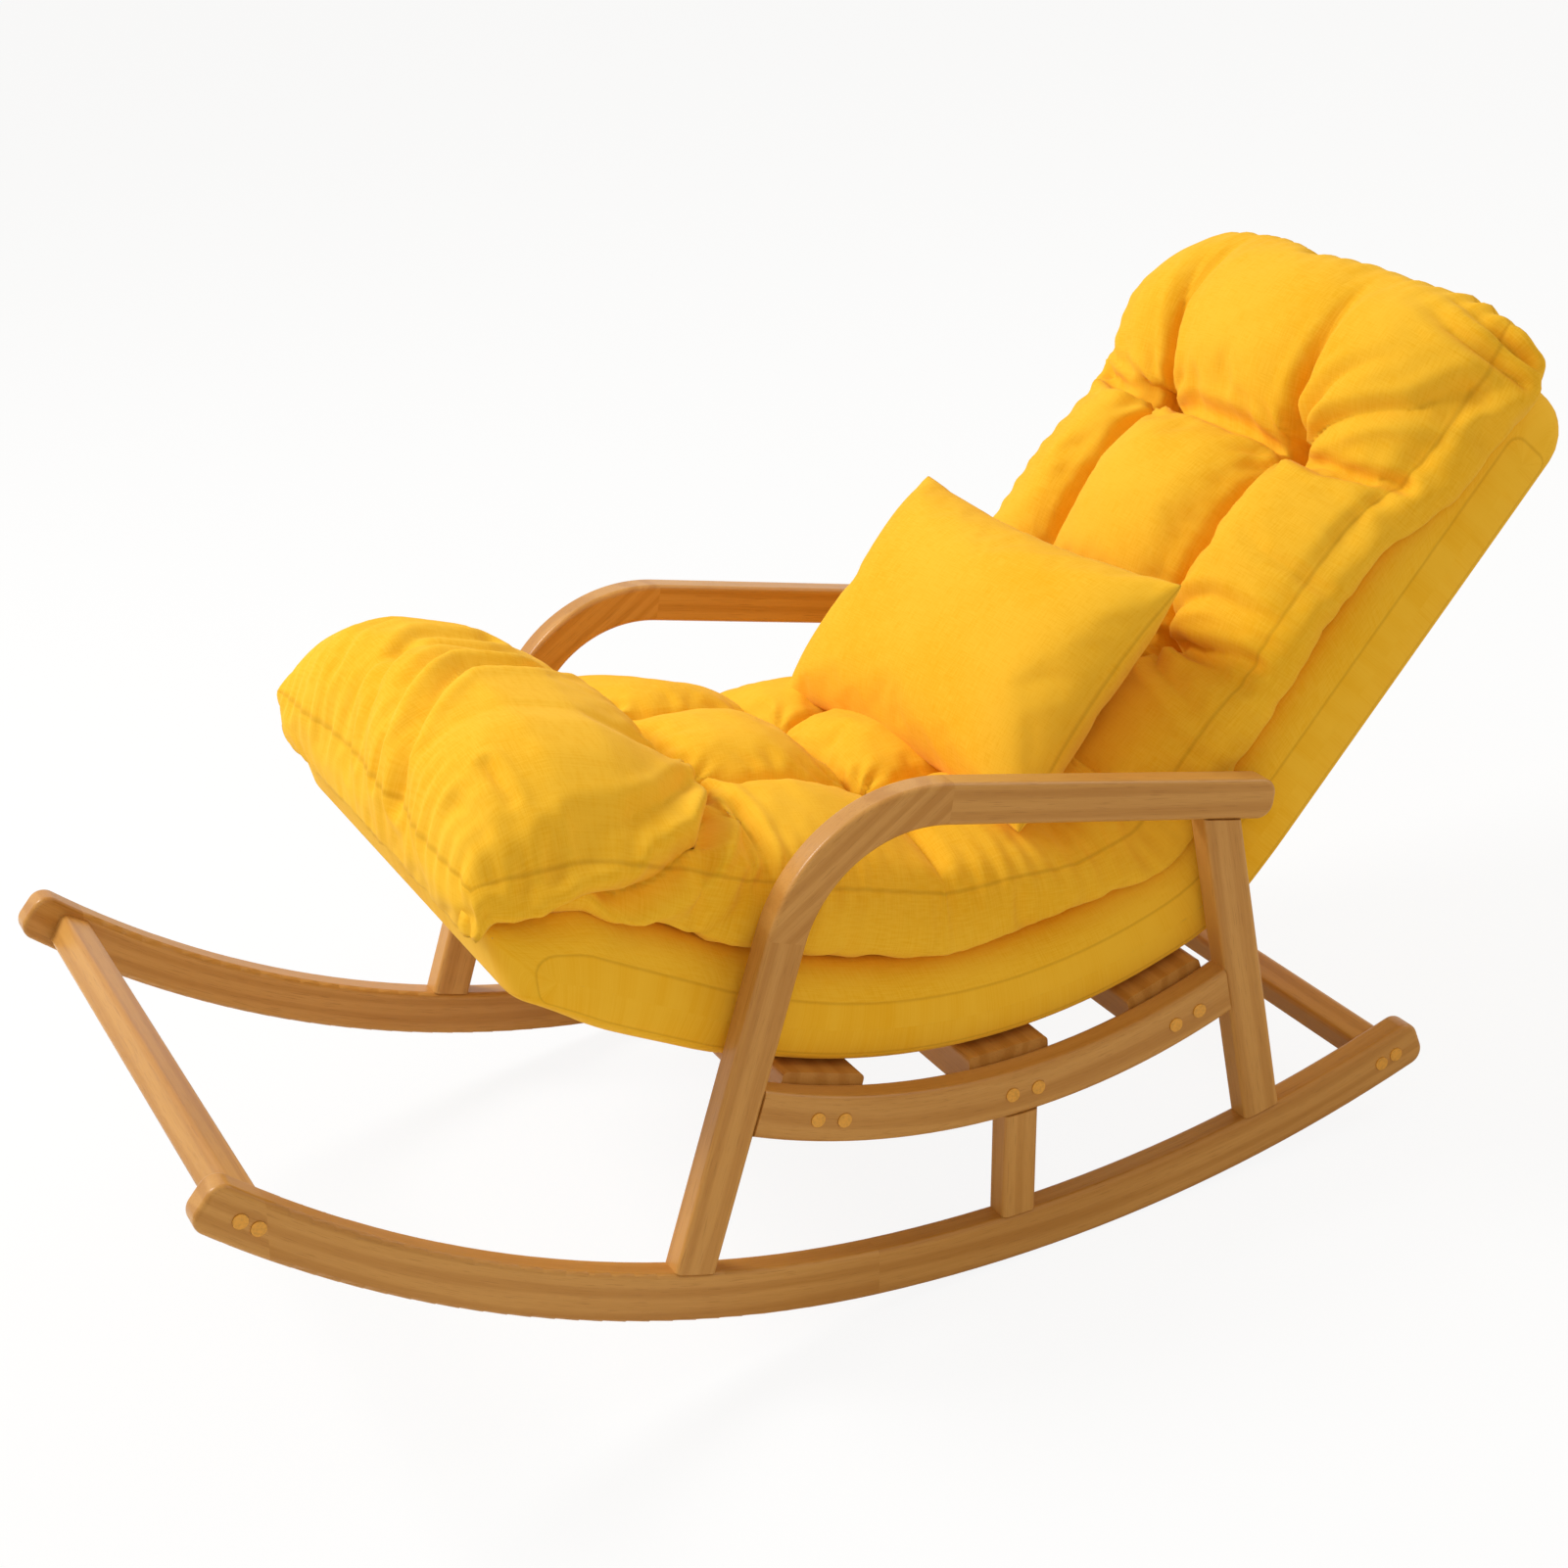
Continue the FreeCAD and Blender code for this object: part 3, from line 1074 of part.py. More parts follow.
os.makedirs("parts", exist_ok=True)
for name, standing in subparts.items():
    standing.Shape.exportStep(os.path.join("parts", name + ".step"))
    print(name, len(standing.Shape.Solids), "solids", round(standing.Shape.Volume), "cubic millimetres")
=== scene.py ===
import json
import math

import bmesh
import bpy
import numpy
from mathutils import Matrix, Vector, noise


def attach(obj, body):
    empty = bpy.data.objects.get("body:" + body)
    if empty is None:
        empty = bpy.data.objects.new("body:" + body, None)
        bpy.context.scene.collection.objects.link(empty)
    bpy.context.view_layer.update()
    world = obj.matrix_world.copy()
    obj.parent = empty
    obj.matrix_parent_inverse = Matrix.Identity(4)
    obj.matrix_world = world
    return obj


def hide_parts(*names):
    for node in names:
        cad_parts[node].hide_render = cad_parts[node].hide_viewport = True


# Low rocking chair with an upholstered shell, a tufted pad and a loose pillow.
# Lengths are in metres. The soft pieces are built in the photo's pose, where the
# seat's centre and the rear arc of the rockers have the part's own places, and are
# then rolled back with the chair.

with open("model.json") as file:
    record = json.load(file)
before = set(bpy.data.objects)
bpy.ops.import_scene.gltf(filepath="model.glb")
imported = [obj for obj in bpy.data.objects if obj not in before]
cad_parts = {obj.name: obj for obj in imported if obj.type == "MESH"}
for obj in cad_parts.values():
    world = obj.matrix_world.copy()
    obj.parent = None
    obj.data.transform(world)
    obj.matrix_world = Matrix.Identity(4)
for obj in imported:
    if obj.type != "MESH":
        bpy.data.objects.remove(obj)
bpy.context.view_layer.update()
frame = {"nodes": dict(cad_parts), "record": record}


# Pose of the chair

REST_LEAN = math.radians(7.15)
REAR_RADIUS = 1.380
mounts = {mount["name"]: mount for mount in frame["record"]["mounts"]}
CONTACT_Y = mounts["floor_contact"]["pos_m"][1]
ROLL_SHIFT = (0, CONTACT_Y - REAR_RADIUS * math.sin(REST_LEAN),
              REAR_RADIUS - REAR_RADIUS * math.cos(REST_LEAN))
ROLL = Matrix.Translation(ROLL_SHIFT) @ Matrix.Rotation(-REST_LEAN, 4, "X")


# Camera of the photo

CAMERA_PLACE = Vector((2.2388, -1.0714, 1.3339))
CAMERA_AZIMUTH = math.radians(63.73)
CAMERA_ELEVATION = math.radians(21.42)
CAMERA_LENS = 65.445
CAMERA_SENSOR = 36.0
CAMERA_SHIFT = (-0.01555, 0.001686)
CAMERA_REACH = 100


def add_camera():
    """Place the photo's camera, rolled back with the chair."""
    look = -Vector((math.sin(CAMERA_AZIMUTH) * math.cos(CAMERA_ELEVATION),
                    -math.cos(CAMERA_AZIMUTH) * math.cos(CAMERA_ELEVATION), math.sin(CAMERA_ELEVATION)))
    data = bpy.data.cameras.new("camera")
    data.lens = CAMERA_LENS
    data.sensor_width = CAMERA_SENSOR
    data.sensor_fit = "HORIZONTAL"
    data.shift_x, data.shift_y = CAMERA_SHIFT
    data.clip_end = CAMERA_REACH
    camera = bpy.data.objects.new("camera", data)
    bpy.context.collection.objects.link(camera)
    camera.matrix_world = ROLL @ Matrix.LocRotScale(CAMERA_PLACE, look.to_track_quat("-Z", "Y"), None)
    bpy.context.scene.camera = camera


# Shaders

class Shader:
    """A node material with short calls for its nodes."""

    def __init__(self, name):
        self.material = bpy.data.materials.new(name)
        self.material.use_nodes = True
        self.tree = self.material.node_tree
        self.surface = self.tree.nodes["Principled BSDF"]

    def node(self, kind, **inputs):
        """Add a node; each input is a value or another node's output."""
        made = self.tree.nodes.new(kind)
        for name, content in inputs.items():
            self.feed(made, name, content)
        return made

    def feed(self, made, name, content):
        """Set or link one input, by its name or its number."""
        socket = made.inputs[int(name[1:])] if name[0] == "_" else made.inputs[name.replace("_", " ")]
        if isinstance(content, bpy.types.NodeSocket):
            self.tree.links.new(content, socket)
        else:
            socket.default_value = content

    def math(self, operation, first, second=0.0, third=0.0):
        """Add a math node and give its output."""
        made = self.node("ShaderNodeMath", _0=first, _1=second, _2=third)
        made.operation = operation
        return made.outputs[0]

    def blend(self, share, first, second, mode="MIX"):
        """Mix two colours and give the output."""
        made = self.tree.nodes.new("ShaderNodeMix")
        made.data_type = "RGBA"
        made.blend_type = mode
        for index, content in ((0, share), (6, first), (7, second)):
            if isinstance(content, bpy.types.NodeSocket):
                self.tree.links.new(content, made.inputs[index])
            else:
                made.inputs[index].default_value = content
        return made.outputs[2]

    def ramp(self, source, low, high):
        """Stretch a value from low..high to 0..1, softly."""
        made = self.node("ShaderNodeMapRange", Value=source, From_Min=low, From_Max=high)
        made.interpolation_type = "SMOOTHSTEP"
        return made.outputs["Result"]

    def noise(self, vector, scale, detail=2.0, rough=0.5, twist=0.0):
        """Add a noise texture and give its value."""
        made = self.node("ShaderNodeTexNoise", Vector=vector, Scale=scale, Detail=detail,
                         Roughness=rough, Distortion=twist)
        return made.outputs["Fac"]


def colour(red, green, blue):
    """Give a colour with full alpha."""
    return (red, green, blue, 1.0)


# Wood

WOOD_LIGHT = colour(0.62, 0.315, 0.080)
WOOD_DARK = colour(0.46, 0.200, 0.036)
PORE_DARK = colour(0.30, 0.115, 0.018)
BROAD_GRAIN = (2.2, 22.0)
RING_GRAIN = (1.1, 17.0)
RING_TWIST = 9.0
FINE_GRAIN = (14.0, 520.0)
PORE_GRAIN = (38.0, 1300.0)
GRAIN_SHARES = {"figure": 0.24, "broad": 0.60, "fine": 0.34, "pores": 0.42}
GRAIN_SPARE = 0.1
GRAIN_BUMP = 0.0006
LACQUER_ROUGHNESS = 0.38
LACQUER_SPECULAR = 0.20
COAT_WEIGHT = 0.20
COAT_ROUGHNESS = 0.22


def wood_material(name, grain_turn=0.0, centre=None, seed=0.0, across=False):
    """Lacquered wood whose grain runs straight at a turn, or round a centre in the side view."""
    shader = Shader(name)
    place = shader.node("ShaderNodeTexCoord").outputs["Object"]
    x, y, z = shader.node("ShaderNodeSeparateXYZ", Vector=place).outputs
    if across:
        along, depth, wide = x, y, z
    elif centre:
        out_y = shader.math("SUBTRACT", y, centre[0])
        out_z = shader.math("SUBTRACT", z, centre[1])
        reach = math.hypot(centre[0], centre[1]) + GRAIN_SPARE
        angle = shader.math("ARCTAN2", out_y, shader.math("MULTIPLY", out_z, -1.0))
        along = shader.math("MULTIPLY", angle, reach)
        square = shader.math("MULTIPLY", out_z, out_z)
        square = shader.math("ADD", shader.math("MULTIPLY", out_y, out_y), square)
        depth = shader.math("SQRT", square)
        wide = x
    else:
        cosine, sine = math.cos(grain_turn), math.sin(grain_turn)
        along = shader.math("MULTIPLY", z, sine)
        along = shader.math("ADD", shader.math("MULTIPLY", y, cosine), along)
        depth = shader.math("MULTIPLY", y, sine)
        depth = shader.math("SUBTRACT", shader.math("MULTIPLY", z, cosine), depth)
        wide = x
    along = shader.math("ADD", along, seed)
    base = shader.node("ShaderNodeCombineXYZ", X=along, Y=depth, Z=wide).outputs[0]

    def stretched(scales):
        """Give the board's coordinates with their own scales along and across the grain."""
        run, other = scales
        made = shader.node("ShaderNodeMapping", Vector=base, Scale=(run, other, other))
        return made.outputs[0]

    broad = shader.noise(stretched(BROAD_GRAIN), 1.0, 2.0, 0.5, 0.4)
    rings = shader.node("ShaderNodeTexWave", Vector=stretched(RING_GRAIN), Scale=1.0,
                        Distortion=RING_TWIST, Detail=3.0, Detail_Scale=0.7)
    rings.bands_direction = "Y"
    figure = shader.ramp(rings.outputs["Fac"], 0.25, 0.95)
    fine = shader.noise(stretched(FINE_GRAIN), 1.0, 2.0, 0.6)
    pores = shader.ramp(shader.noise(stretched(PORE_GRAIN), 1.0, 1.0, 0.5), 0.60, 0.72)
    tone = shader.math("MULTIPLY", broad, GRAIN_SHARES["broad"])
    tone = shader.math("MULTIPLY_ADD", figure, GRAIN_SHARES["figure"], tone)
    tone = shader.ramp(shader.math("MULTIPLY_ADD", fine, GRAIN_SHARES["fine"], tone), 0.20, 0.95)
    wood = shader.blend(tone, WOOD_LIGHT, WOOD_DARK)
    wood = shader.blend(shader.math("MULTIPLY", pores, GRAIN_SHARES["pores"]), wood, PORE_DARK)
    shader.feed(shader.surface, "Base Color", wood)
    shader.surface.inputs["Roughness"].default_value = LACQUER_ROUGHNESS
    shader.surface.inputs["Specular IOR Level"].default_value = LACQUER_SPECULAR
    shader.surface.inputs["Coat Weight"].default_value = COAT_WEIGHT
    shader.surface.inputs["Coat Roughness"].default_value = COAT_ROUGHNESS
    height = shader.math("MULTIPLY_ADD", pores, -0.6, shader.math("MULTIPLY", fine, 0.5))
    bump = shader.node("ShaderNodeBump", Strength=0.18, Distance=GRAIN_BUMP, Height=height)
    shader.feed(shader.surface, "Normal", bump.outputs[0])
    return shader.material


# Fabric

YELLOW = colour(0.930, 0.530, 0.036)
YELLOW_DEEP = colour(0.870, 0.445, 0.013)
# Painted shade along the seams: the colour and share of the darkening that stands for the shadow in each
# seam's groove
SEAM_SHADE = colour(0.42, 0.17, 0.004)
SEAM_SHADE_SHARE = 0.30
SEAM_WIDTH = 0.0020
THREAD = 0.0011
SLUB_LONG = 60.0
SLUB_THIN = 900.0
SHEEN_TINT = colour(1.0, 0.88, 0.55)
WEAVE_BUMP = 0.0004


def fabric_material(name):
    """Plain woven cotton with painted shade along its seams; each piece carries the distance to its seams
    in an attribute.
    """
    shader = Shader(name)
    cloth = shader.node("ShaderNodeUVMap")
    cloth.uv_map = "cloth"
    sheet = cloth.outputs[0]
    parts = shader.node("ShaderNodeSeparateXYZ", Vector=sheet)
    turn = 2 * math.pi / THREAD
    warp = shader.math("SINE", shader.math("MULTIPLY", parts.outputs[0], turn))
    weft = shader.math("SINE", shader.math("MULTIPLY", parts.outputs[1], turn))
    weave = shader.math("MULTIPLY", warp, weft)
    slubs = 0.0
    for scale in ((SLUB_LONG, SLUB_THIN, 1.0), (SLUB_THIN, SLUB_LONG, 1.0)):
        threads = shader.node("ShaderNodeMapping", Vector=sheet, Scale=scale).outputs[0]
        slubs = shader.math("ADD", shader.noise(threads, 1.0, 2.0), slubs)
    place = shader.node("ShaderNodeTexCoord").outputs["Object"]
    broad = shader.noise(place, 7.0, 3.0, 0.55)
    tone = shader.math("MULTIPLY_ADD", shader.math("SUBTRACT", slubs, 1.0), 0.9, broad)
    tone = shader.math("MULTIPLY_ADD", weave, 0.05, tone)
    cotton = shader.blend(shader.ramp(tone, 0.25, 0.95), YELLOW, YELLOW_DEEP)
    height = shader.math("MULTIPLY_ADD", weave, 0.25, slubs)
    seam = shader.node("ShaderNodeAttribute")
    seam.attribute_name = "seam"
    # The seam line darkens the cotton with painted shade for the groove's shadow; its bump below presses a
    # real groove
    line = shader.ramp(shader.math("ABSOLUTE", seam.outputs["Fac"]), SEAM_WIDTH, 0.0)
    cotton = shader.blend(shader.math("MULTIPLY", line, SEAM_SHADE_SHARE), cotton, SEAM_SHADE)
    height = shader.math("MULTIPLY_ADD", line, -2.2, height)
    shader.feed(shader.surface, "Base Color", cotton)
    shader.surface.inputs["Roughness"].default_value = 0.92
    shader.surface.inputs["Specular IOR Level"].default_value = 0.10
    shader.surface.inputs["Sheen Weight"].default_value = 0.10
    shader.surface.inputs["Sheen Roughness"].default_value = 0.45
    shader.surface.inputs["Sheen Tint"].default_value = SHEEN_TINT
    bump = shader.node("ShaderNodeBump", Strength=0.22, Distance=WEAVE_BUMP, Height=height)
    shader.feed(shader.surface, "Normal", bump.outputs[0])
    return shader.material


SPECK_SCALE = 400.0
SPECK_SHADE = 0.8


def plain_material(name, base, rough, metal=0.0):
    """Small hidden or turned pieces: one colour broken up by a fine noise."""
    shader = Shader(name)
    place = shader.node("ShaderNodeTexCoord").outputs["Object"]
    speck = shader.noise(place, SPECK_SCALE, 2.0)
    dark = colour(*[share * SPECK_SHADE for share in base[:3]])
    shader.feed(shader.surface, "Base Color", shader.blend(shader.ramp(speck, 0.35, 0.75), base, dark))
    shader.surface.inputs["Roughness"].default_value = rough
    shader.surface.inputs["Metallic"].default_value = metal
    bump = shader.node("ShaderNodeBump", Strength=0.2, Distance=0.0003, Height=speck)
    shader.feed(shader.surface, "Normal", bump.outputs[0])
    return shader.material


# Side view of the shell's top, as stations along its length

SEAT_CENTRE = Vector((0, 0.045, 0.787))
SHELL_RADIUS = 0.587
SHELL_THICKNESS = 0.092
SHELL_HALF_WIDTH = 0.280
EDGE_ROUND = 0.033
KNEE_RADIUS = 0.200
TOE_SLOPE = math.radians(25.5)
KNEE_START = math.radians(23.3)
BACK_SLOPE = math.radians(50.3)
TOE_LENGTH = 0.176
BACK_LENGTH = 0.495
LIP_RISE = 0.146
KNEE_AIM = Vector((0, math.sin(KNEE_START), -math.cos(KNEE_START)))
KNEE_CENTRE = SEAT_CENTRE + (SHELL_RADIUS - KNEE_RADIUS) * KNEE_AIM
TOP_RADIUS = SHELL_RADIUS - SHELL_THICKNESS
TOP_KNEE = KNEE_RADIUS - SHELL_THICKNESS
LIP_AT = 0.088
TOE_AT = LIP_AT + LIP_RISE
KNEE_AT = TOE_AT + TOP_RADIUS * (TOE_SLOPE + KNEE_START)
BACK_AT = KNEE_AT + TOP_KNEE * (BACK_SLOPE - KNEE_START)
SHELL_END = BACK_AT + BACK_LENGTH


def eased(table, at):
    """Read a smooth curve through (place, value) pairs."""
    if at <= table[0][0]:
        return table[0][1]
    for (low, first), (high, second) in zip(table, table[1:]):
        if at <= high:
            share = (at - low) / (high - low)
            share = share * share * (3 - 2 * share)
            return first + (second - first) * share
    return table[-1][1]


def direction(slope):
    """Give the direction along a slope in the side view."""
    return Vector((0, math.cos(slope), math.sin(slope)))


def outward(slope):
    """Give the direction out of the shell at a slope."""
    return Vector((0, -math.sin(slope), math.cos(slope)))


def shell_top(run):
    """Give the shell's top point and slope at a run along it from the front."""
    if run < TOE_AT:
        toe = SEAT_CENTRE - TOP_RADIUS * outward(-TOE_SLOPE)
        rise = toe - direction(-TOE_SLOPE) * LIP_RISE
        if run < LIP_AT:
            return rise - Vector((0, LIP_AT - run, 0)), 0.0
        return toe - direction(-TOE_SLOPE) * (TOE_AT - run), -TOE_SLOPE
    if run < KNEE_AT:
        slope = (run - TOE_AT) / TOP_RADIUS - TOE_SLOPE
        return SEAT_CENTRE - TOP_RADIUS * outward(slope), slope
    if run < BACK_AT:
        slope = (run - KNEE_AT) / TOP_KNEE + KNEE_START
        return KNEE_CENTRE - TOP_KNEE * outward(slope), slope
    start = KNEE_CENTRE - TOP_KNEE * outward(BACK_SLOPE)
    return start + direction(BACK_SLOPE) * (run - BACK_AT), BACK_SLOPE


def shell_bottom(run):
    """Give the shell's underside below the top's run."""
    if run < TOE_AT:
        toe = SEAT_CENTRE - SHELL_RADIUS * outward(-TOE_SLOPE)
        return toe - direction(-TOE_SLOPE) * TOE_LENGTH * (1 - run / TOE_AT)
    if run < KNEE_AT:
        return SEAT_CENTRE - SHELL_RADIUS * outward((run - TOE_AT) / TOP_RADIUS - TOE_SLOPE)
    if run < BACK_AT:
        return KNEE_CENTRE - KNEE_RADIUS * outward((run - KNEE_AT) / TOP_KNEE + KNEE_START)
    start = KNEE_CENTRE - KNEE_RADIUS * outward(BACK_SLOPE)
    return start + direction(BACK_SLOPE) * (run - BACK_AT)


SHELL_SAG = ((0.0, 0.0), (0.120, 0.008), (0.240, 0.006), (0.285, 0.0), (0.630, 0.0),
             (0.760, 0.005), (1.150, 0.006))


def shell_point(run, deep):
    """Give a side view point at a depth below the shell's top; its cover sags beyond the rails."""
    share = deep / SHELL_THICKNESS * (1 + eased(SHELL_SAG, run) / SHELL_THICKNESS)
    return shell_top(run)[0].lerp(shell_bottom(run), share)


# Cloth meshes

class Cloth:
    """A closed mesh in patches that share their edges, with cloth coordinates for the weave."""

    def __init__(self, name):
        self.name = name
        self.made = bmesh.new()
        self.layer = self.made.loops.layers.uv.new("cloth")
        self.seam = self.made.verts.layers.float.new("seam")
        self.pin = self.made.verts.layers.float.new("pin")
        self.sheet = [self.made.verts.layers.float.new(name) for name in ("sheet_x", "sheet_run")]
        self.known = {}

    def vert(self, place, sheet, seam, pin):
        """Find or add a vertex."""
        key = tuple(round(part, 5) for part in place)
        if key not in self.known:
            made = self.made.verts.new(place)
            made[self.seam] = seam
            made[self.pin] = pin
            made[self.sheet[0]], made[self.sheet[1]] = sheet
            self.known[key] = made
        return self.known[key]

    def patch(self, rows, flip=False):
        """Add a patch; an item of a row is a place, its cloth coordinates, its seam gap and its pin."""
        for low, high in zip(rows, rows[1:]):
            for index in range(len(low) - 1):
                ring = [low[index], low[index + 1], high[index + 1], high[index]]
                if flip:
                    ring.reverse()
                corners = [self.vert(*item) for item in ring]
                if len(set(corners)) < 3:
                    continue
                try:
                    face = self.made.faces.new(list(dict.fromkeys(corners)))
                except ValueError:
                    continue
                sheet = {self.vert(*item): item[1] for item in ring}
                for loop in face.loops:
                    loop[self.layer].uv = sheet[loop.vert]

    def finish(self):
        """Turn the patches into an object with smooth faces."""
        bmesh.ops.recalc_face_normals(self.made, faces=self.made.faces)
        mesh = bpy.data.meshes.new(self.name)
        self.made.to_mesh(mesh)
        self.made.free()
        mesh.polygons.foreach_set("use_smooth", [True] * len(mesh.polygons))
        made = bpy.data.objects.new(self.name, mesh)
        bpy.context.collection.objects.link(made)
        return made


CLOTH_STIFFNESS = 12.0
SHEAR_SHARE = 0.4
CLOTH_BEND = 0.4
CLOTH_MASS = 0.25
CLOTH_DAMPING = 2.0


def puff(thing, pressure, growth, frames, cap):
    """Blow a piece up as cloth, held where its pin layer says, and keep the result."""
    mesh = thing.data
    before = [vert.co.copy() for vert in mesh.vertices]
    pins = [item.value for item in mesh.attributes["pin"].data]
    held = thing.vertex_groups.new(name="held")
    held.add([index for index, pin in enumerate(pins) if pin > 0.5], 1.0, "REPLACE")
    cloth = thing.modifiers.new("cloth", "CLOTH")
    settings = cloth.settings
    settings.quality = 5
    settings.mass = CLOTH_MASS
    settings.tension_stiffness = CLOTH_STIFFNESS
    settings.compression_stiffness = CLOTH_STIFFNESS
    settings.shear_stiffness = CLOTH_STIFFNESS * SHEAR_SHARE
    settings.bending_stiffness = CLOTH_BEND
    settings.air_damping = CLOTH_DAMPING
    settings.use_pressure = True
    settings.uniform_pressure_force = pressure
    settings.shrink_min = -growth
    settings.vertex_group_mass = "held"
    settings.pin_stiffness = 1.0
    settings.effector_weights.gravity = 0.0
    cloth.collision_settings.use_collision = False
    scene = bpy.context.scene
    for number in range(1, frames + 1):
        scene.frame_set(number)
    ready = thing.evaluated_get(bpy.context.evaluated_depsgraph_get())
    after = [vert.co.copy() for vert in ready.data.vertices]
    thing.modifiers.remove(cloth)
    thing.vertex_groups.remove(held)
    scene.frame_set(1)
    for vert, start, end in zip(mesh.vertices, before, after):
        move = end - start
        if move.length > 0:
            move *= math.tanh(move.length / cap) * cap / move.length
        vert.co = start + move


def refine(thing):
    """Subdivide a piece smoothly once and keep the result as its mesh."""
    smooth = thing.modifiers.new("smooth", "SUBSURF")
    smooth.levels = 1
    smooth.render_levels = 1
    ready = thing.evaluated_get(bpy.context.evaluated_depsgraph_get())
    finer = bpy.data.meshes.new_from_object(ready)
    thing.modifiers.remove(smooth)
    thing.data = finer
    finer.polygons.foreach_set("use_smooth", [True] * len(finer.polygons))


# Wrinkles

def vertex_values(mesh, name):
    """Read a named value of every vertex."""
    values = numpy.zeros(len(mesh.vertices))
    mesh.attributes[name].data.foreach_get("value", values)
    return values


SHOULDER_SHARE = 0.35
SHOULDER_PLACE = 2.4


def crease_depth(run, x, points, depth, width, tail):
    """Give the depth of a crease drawn through points; it fades to a tail share at its end."""
    nearest = numpy.full(len(run), 1.0)
    along = numpy.zeros(len(run))
    spans = list(zip(points, points[1:]))
    for index, ((run_a, x_a), (run_b, x_b)) in enumerate(spans):
        step_run, step_x = run_b - run_a, x_b - x_a
        share = ((run - run_a) * step_run + (x - x_a) * step_x) / (step_run ** 2 + step_x ** 2)
        share = numpy.clip(share, 0.0, 1.0)
        reach = numpy.hypot(run - run_a - share * step_run, x - x_a - share * step_x)
        closer = reach < nearest
        nearest = numpy.where(closer, reach, nearest)
        along = numpy.where(closer, (index + share) / len(spans), along)
    fade = 1 - (1 - tail) * along ** 1.5
    valley = numpy.exp(-nearest / width)
    shoulder = SHOULDER_SHARE * numpy.exp(-((nearest - SHOULDER_PLACE * width) / width) ** 2)
    return depth * fade * (valley - shoulder)


def wander(run, x, scale, seed):
    """Give smooth noise over the sheet, from -1 to 1."""
    return numpy.array([noise.noise(Vector((a * scale, b * scale, seed))) for a, b in zip(run, x)])


def push(mesh, amount):
    """Move the vertices along their normals."""
    count = len(mesh.vertices)
    places = numpy.zeros(count * 3)
    normals = numpy.zeros(count * 3)
    mesh.vertices.foreach_get("co", places)
    mesh.vertices.foreach_get("normal", normals)
    places += normals * numpy.repeat(amount, 3)
    mesh.vertices.foreach_set("co", places)
    mesh.update()


# Tufted pad: places along the shell's top (run), heights over it and widths

PAD_MIDDLE = 0.014
PAD_FRONT = -0.012
PAD_END = SHELL_END + 0.050
PAD_STEP = 0.0075
PAD_WALL_ROWS = 7
PAD_CLEARANCE = 0.0009
CREASE_PIN = 0.6
HOLD_REACH = 0.001
HOLD_SHARE = 0.45
FRONT_ROUND = 0.072
FRONT_HANG = 0.018
END_ROUND = 0.078
FRONT_CORNER = 0.002
END_CORNER = 0.008
END_TUCK = 0.022
FAR_CORNER = 0.050
TUFT_RUNS = (TOE_AT - 0.011, TOE_AT + 0.205, TOE_AT + 0.356, BACK_AT + 0.1355, BACK_AT + 0.3485)
TUFT_DEPTHS = (0.045, 0.047, 0.046, 0.070, 0.080)
ROW_DEPTHS = (0.026, 0.031, 0.030, 0.046, 0.052)
FRONT_REACH = 0.075
END_REACH = 0.110
PAD_COLUMNS = ((TUFT_RUNS[2], 0.091), (TUFT_RUNS[3], 0.108))
PAD_NEAR = ((PAD_FRONT, 0.262), (0.060, 0.268), (0.480, 0.268), (0.620, 0.262), (0.780, 0.252),
            (1.000, 0.250), (1.130, 0.266), (1.200, 0.274), (PAD_END, 0.262))
PAD_FAR = ((PAD_FRONT, 0.258), (0.060, 0.262), (0.230, 0.250), (0.480, 0.245), (0.620, 0.236),
           (0.780, 0.216), (1.000, 0.208), (1.140, 0.228), (PAD_END, 0.198))
PAD_SEAMS = ((PAD_FRONT, 0.032), (0.090, 0.036), (0.170, 0.050), (0.235, 0.062), (0.360, 0.064),
             (0.485, 0.056), (0.610, 0.042), (0.780, 0.036), (0.920, 0.031), (1.000, 0.029),
             (1.130, 0.020), (PAD_END, 0.030))
PAD_CROWNS = ((PAD_FRONT, 0.110), (0.080, 0.112), (TUFT_RUNS[0], 0.116), (0.330, 0.127), (0.515, 0.117),
              (0.620, 0.098), (0.720, 0.088), (0.860, 0.090), (0.960, 0.094), (1.060, 0.095),
              (1.150, 0.094), (PAD_END, 0.078))
PAD_SQUARENESS = ((0.050, 4.6), (0.250, 2.6), (1.050, 2.6), (1.180, 5.0))
COLUMN_DEPTHS = ((PAD_FRONT, 0.012), (0.150, 0.014), (0.260, 0.026), (0.600, 0.028), (0.800, 0.050),
                 (1.050, 0.052), (1.150, 0.022), (PAD_END, 0.008))
FRONT_COLUMN_SHARE = 0.35
OUTER_ROW_SHARE = 0.65
END_POWER = 2.4
DOME_POWER = 0.62
DOME_END_POWER = 0.6
SWELL_POWERS = (2.2, 0.55)

# Pad's border: how far it bulges and where its foot lies, out from its seam
BELLIES = ((0.600, 0.016), (0.800, 0.018))
FEET = ((0.560, -0.006), (0.780, 0.018))
TUCK = 0.009
BORDER_SHEET = 0.055
END_BULGE = 0.012
END_DRAW = 0.004
END_DRAW_LENGTH = 0.05
HANG_LENGTH = 0.007

# Plan of the pad's corners: where their rounding starts
CORNER_HALF_WIDTH = 0.240
END_CORNER_START = PAD_END - 0.160
FRONT_CORNER_END = 0.080


def shell_edge(x):
    """Give the shell's height at a place across it, rounded down to its sides."""
    over = min(EDGE_ROUND, max(0.0, abs(x) - SHELL_HALF_WIDTH + EDGE_ROUND))
    return math.sqrt(EDGE_ROUND ** 2 - over ** 2) - EDGE_ROUND


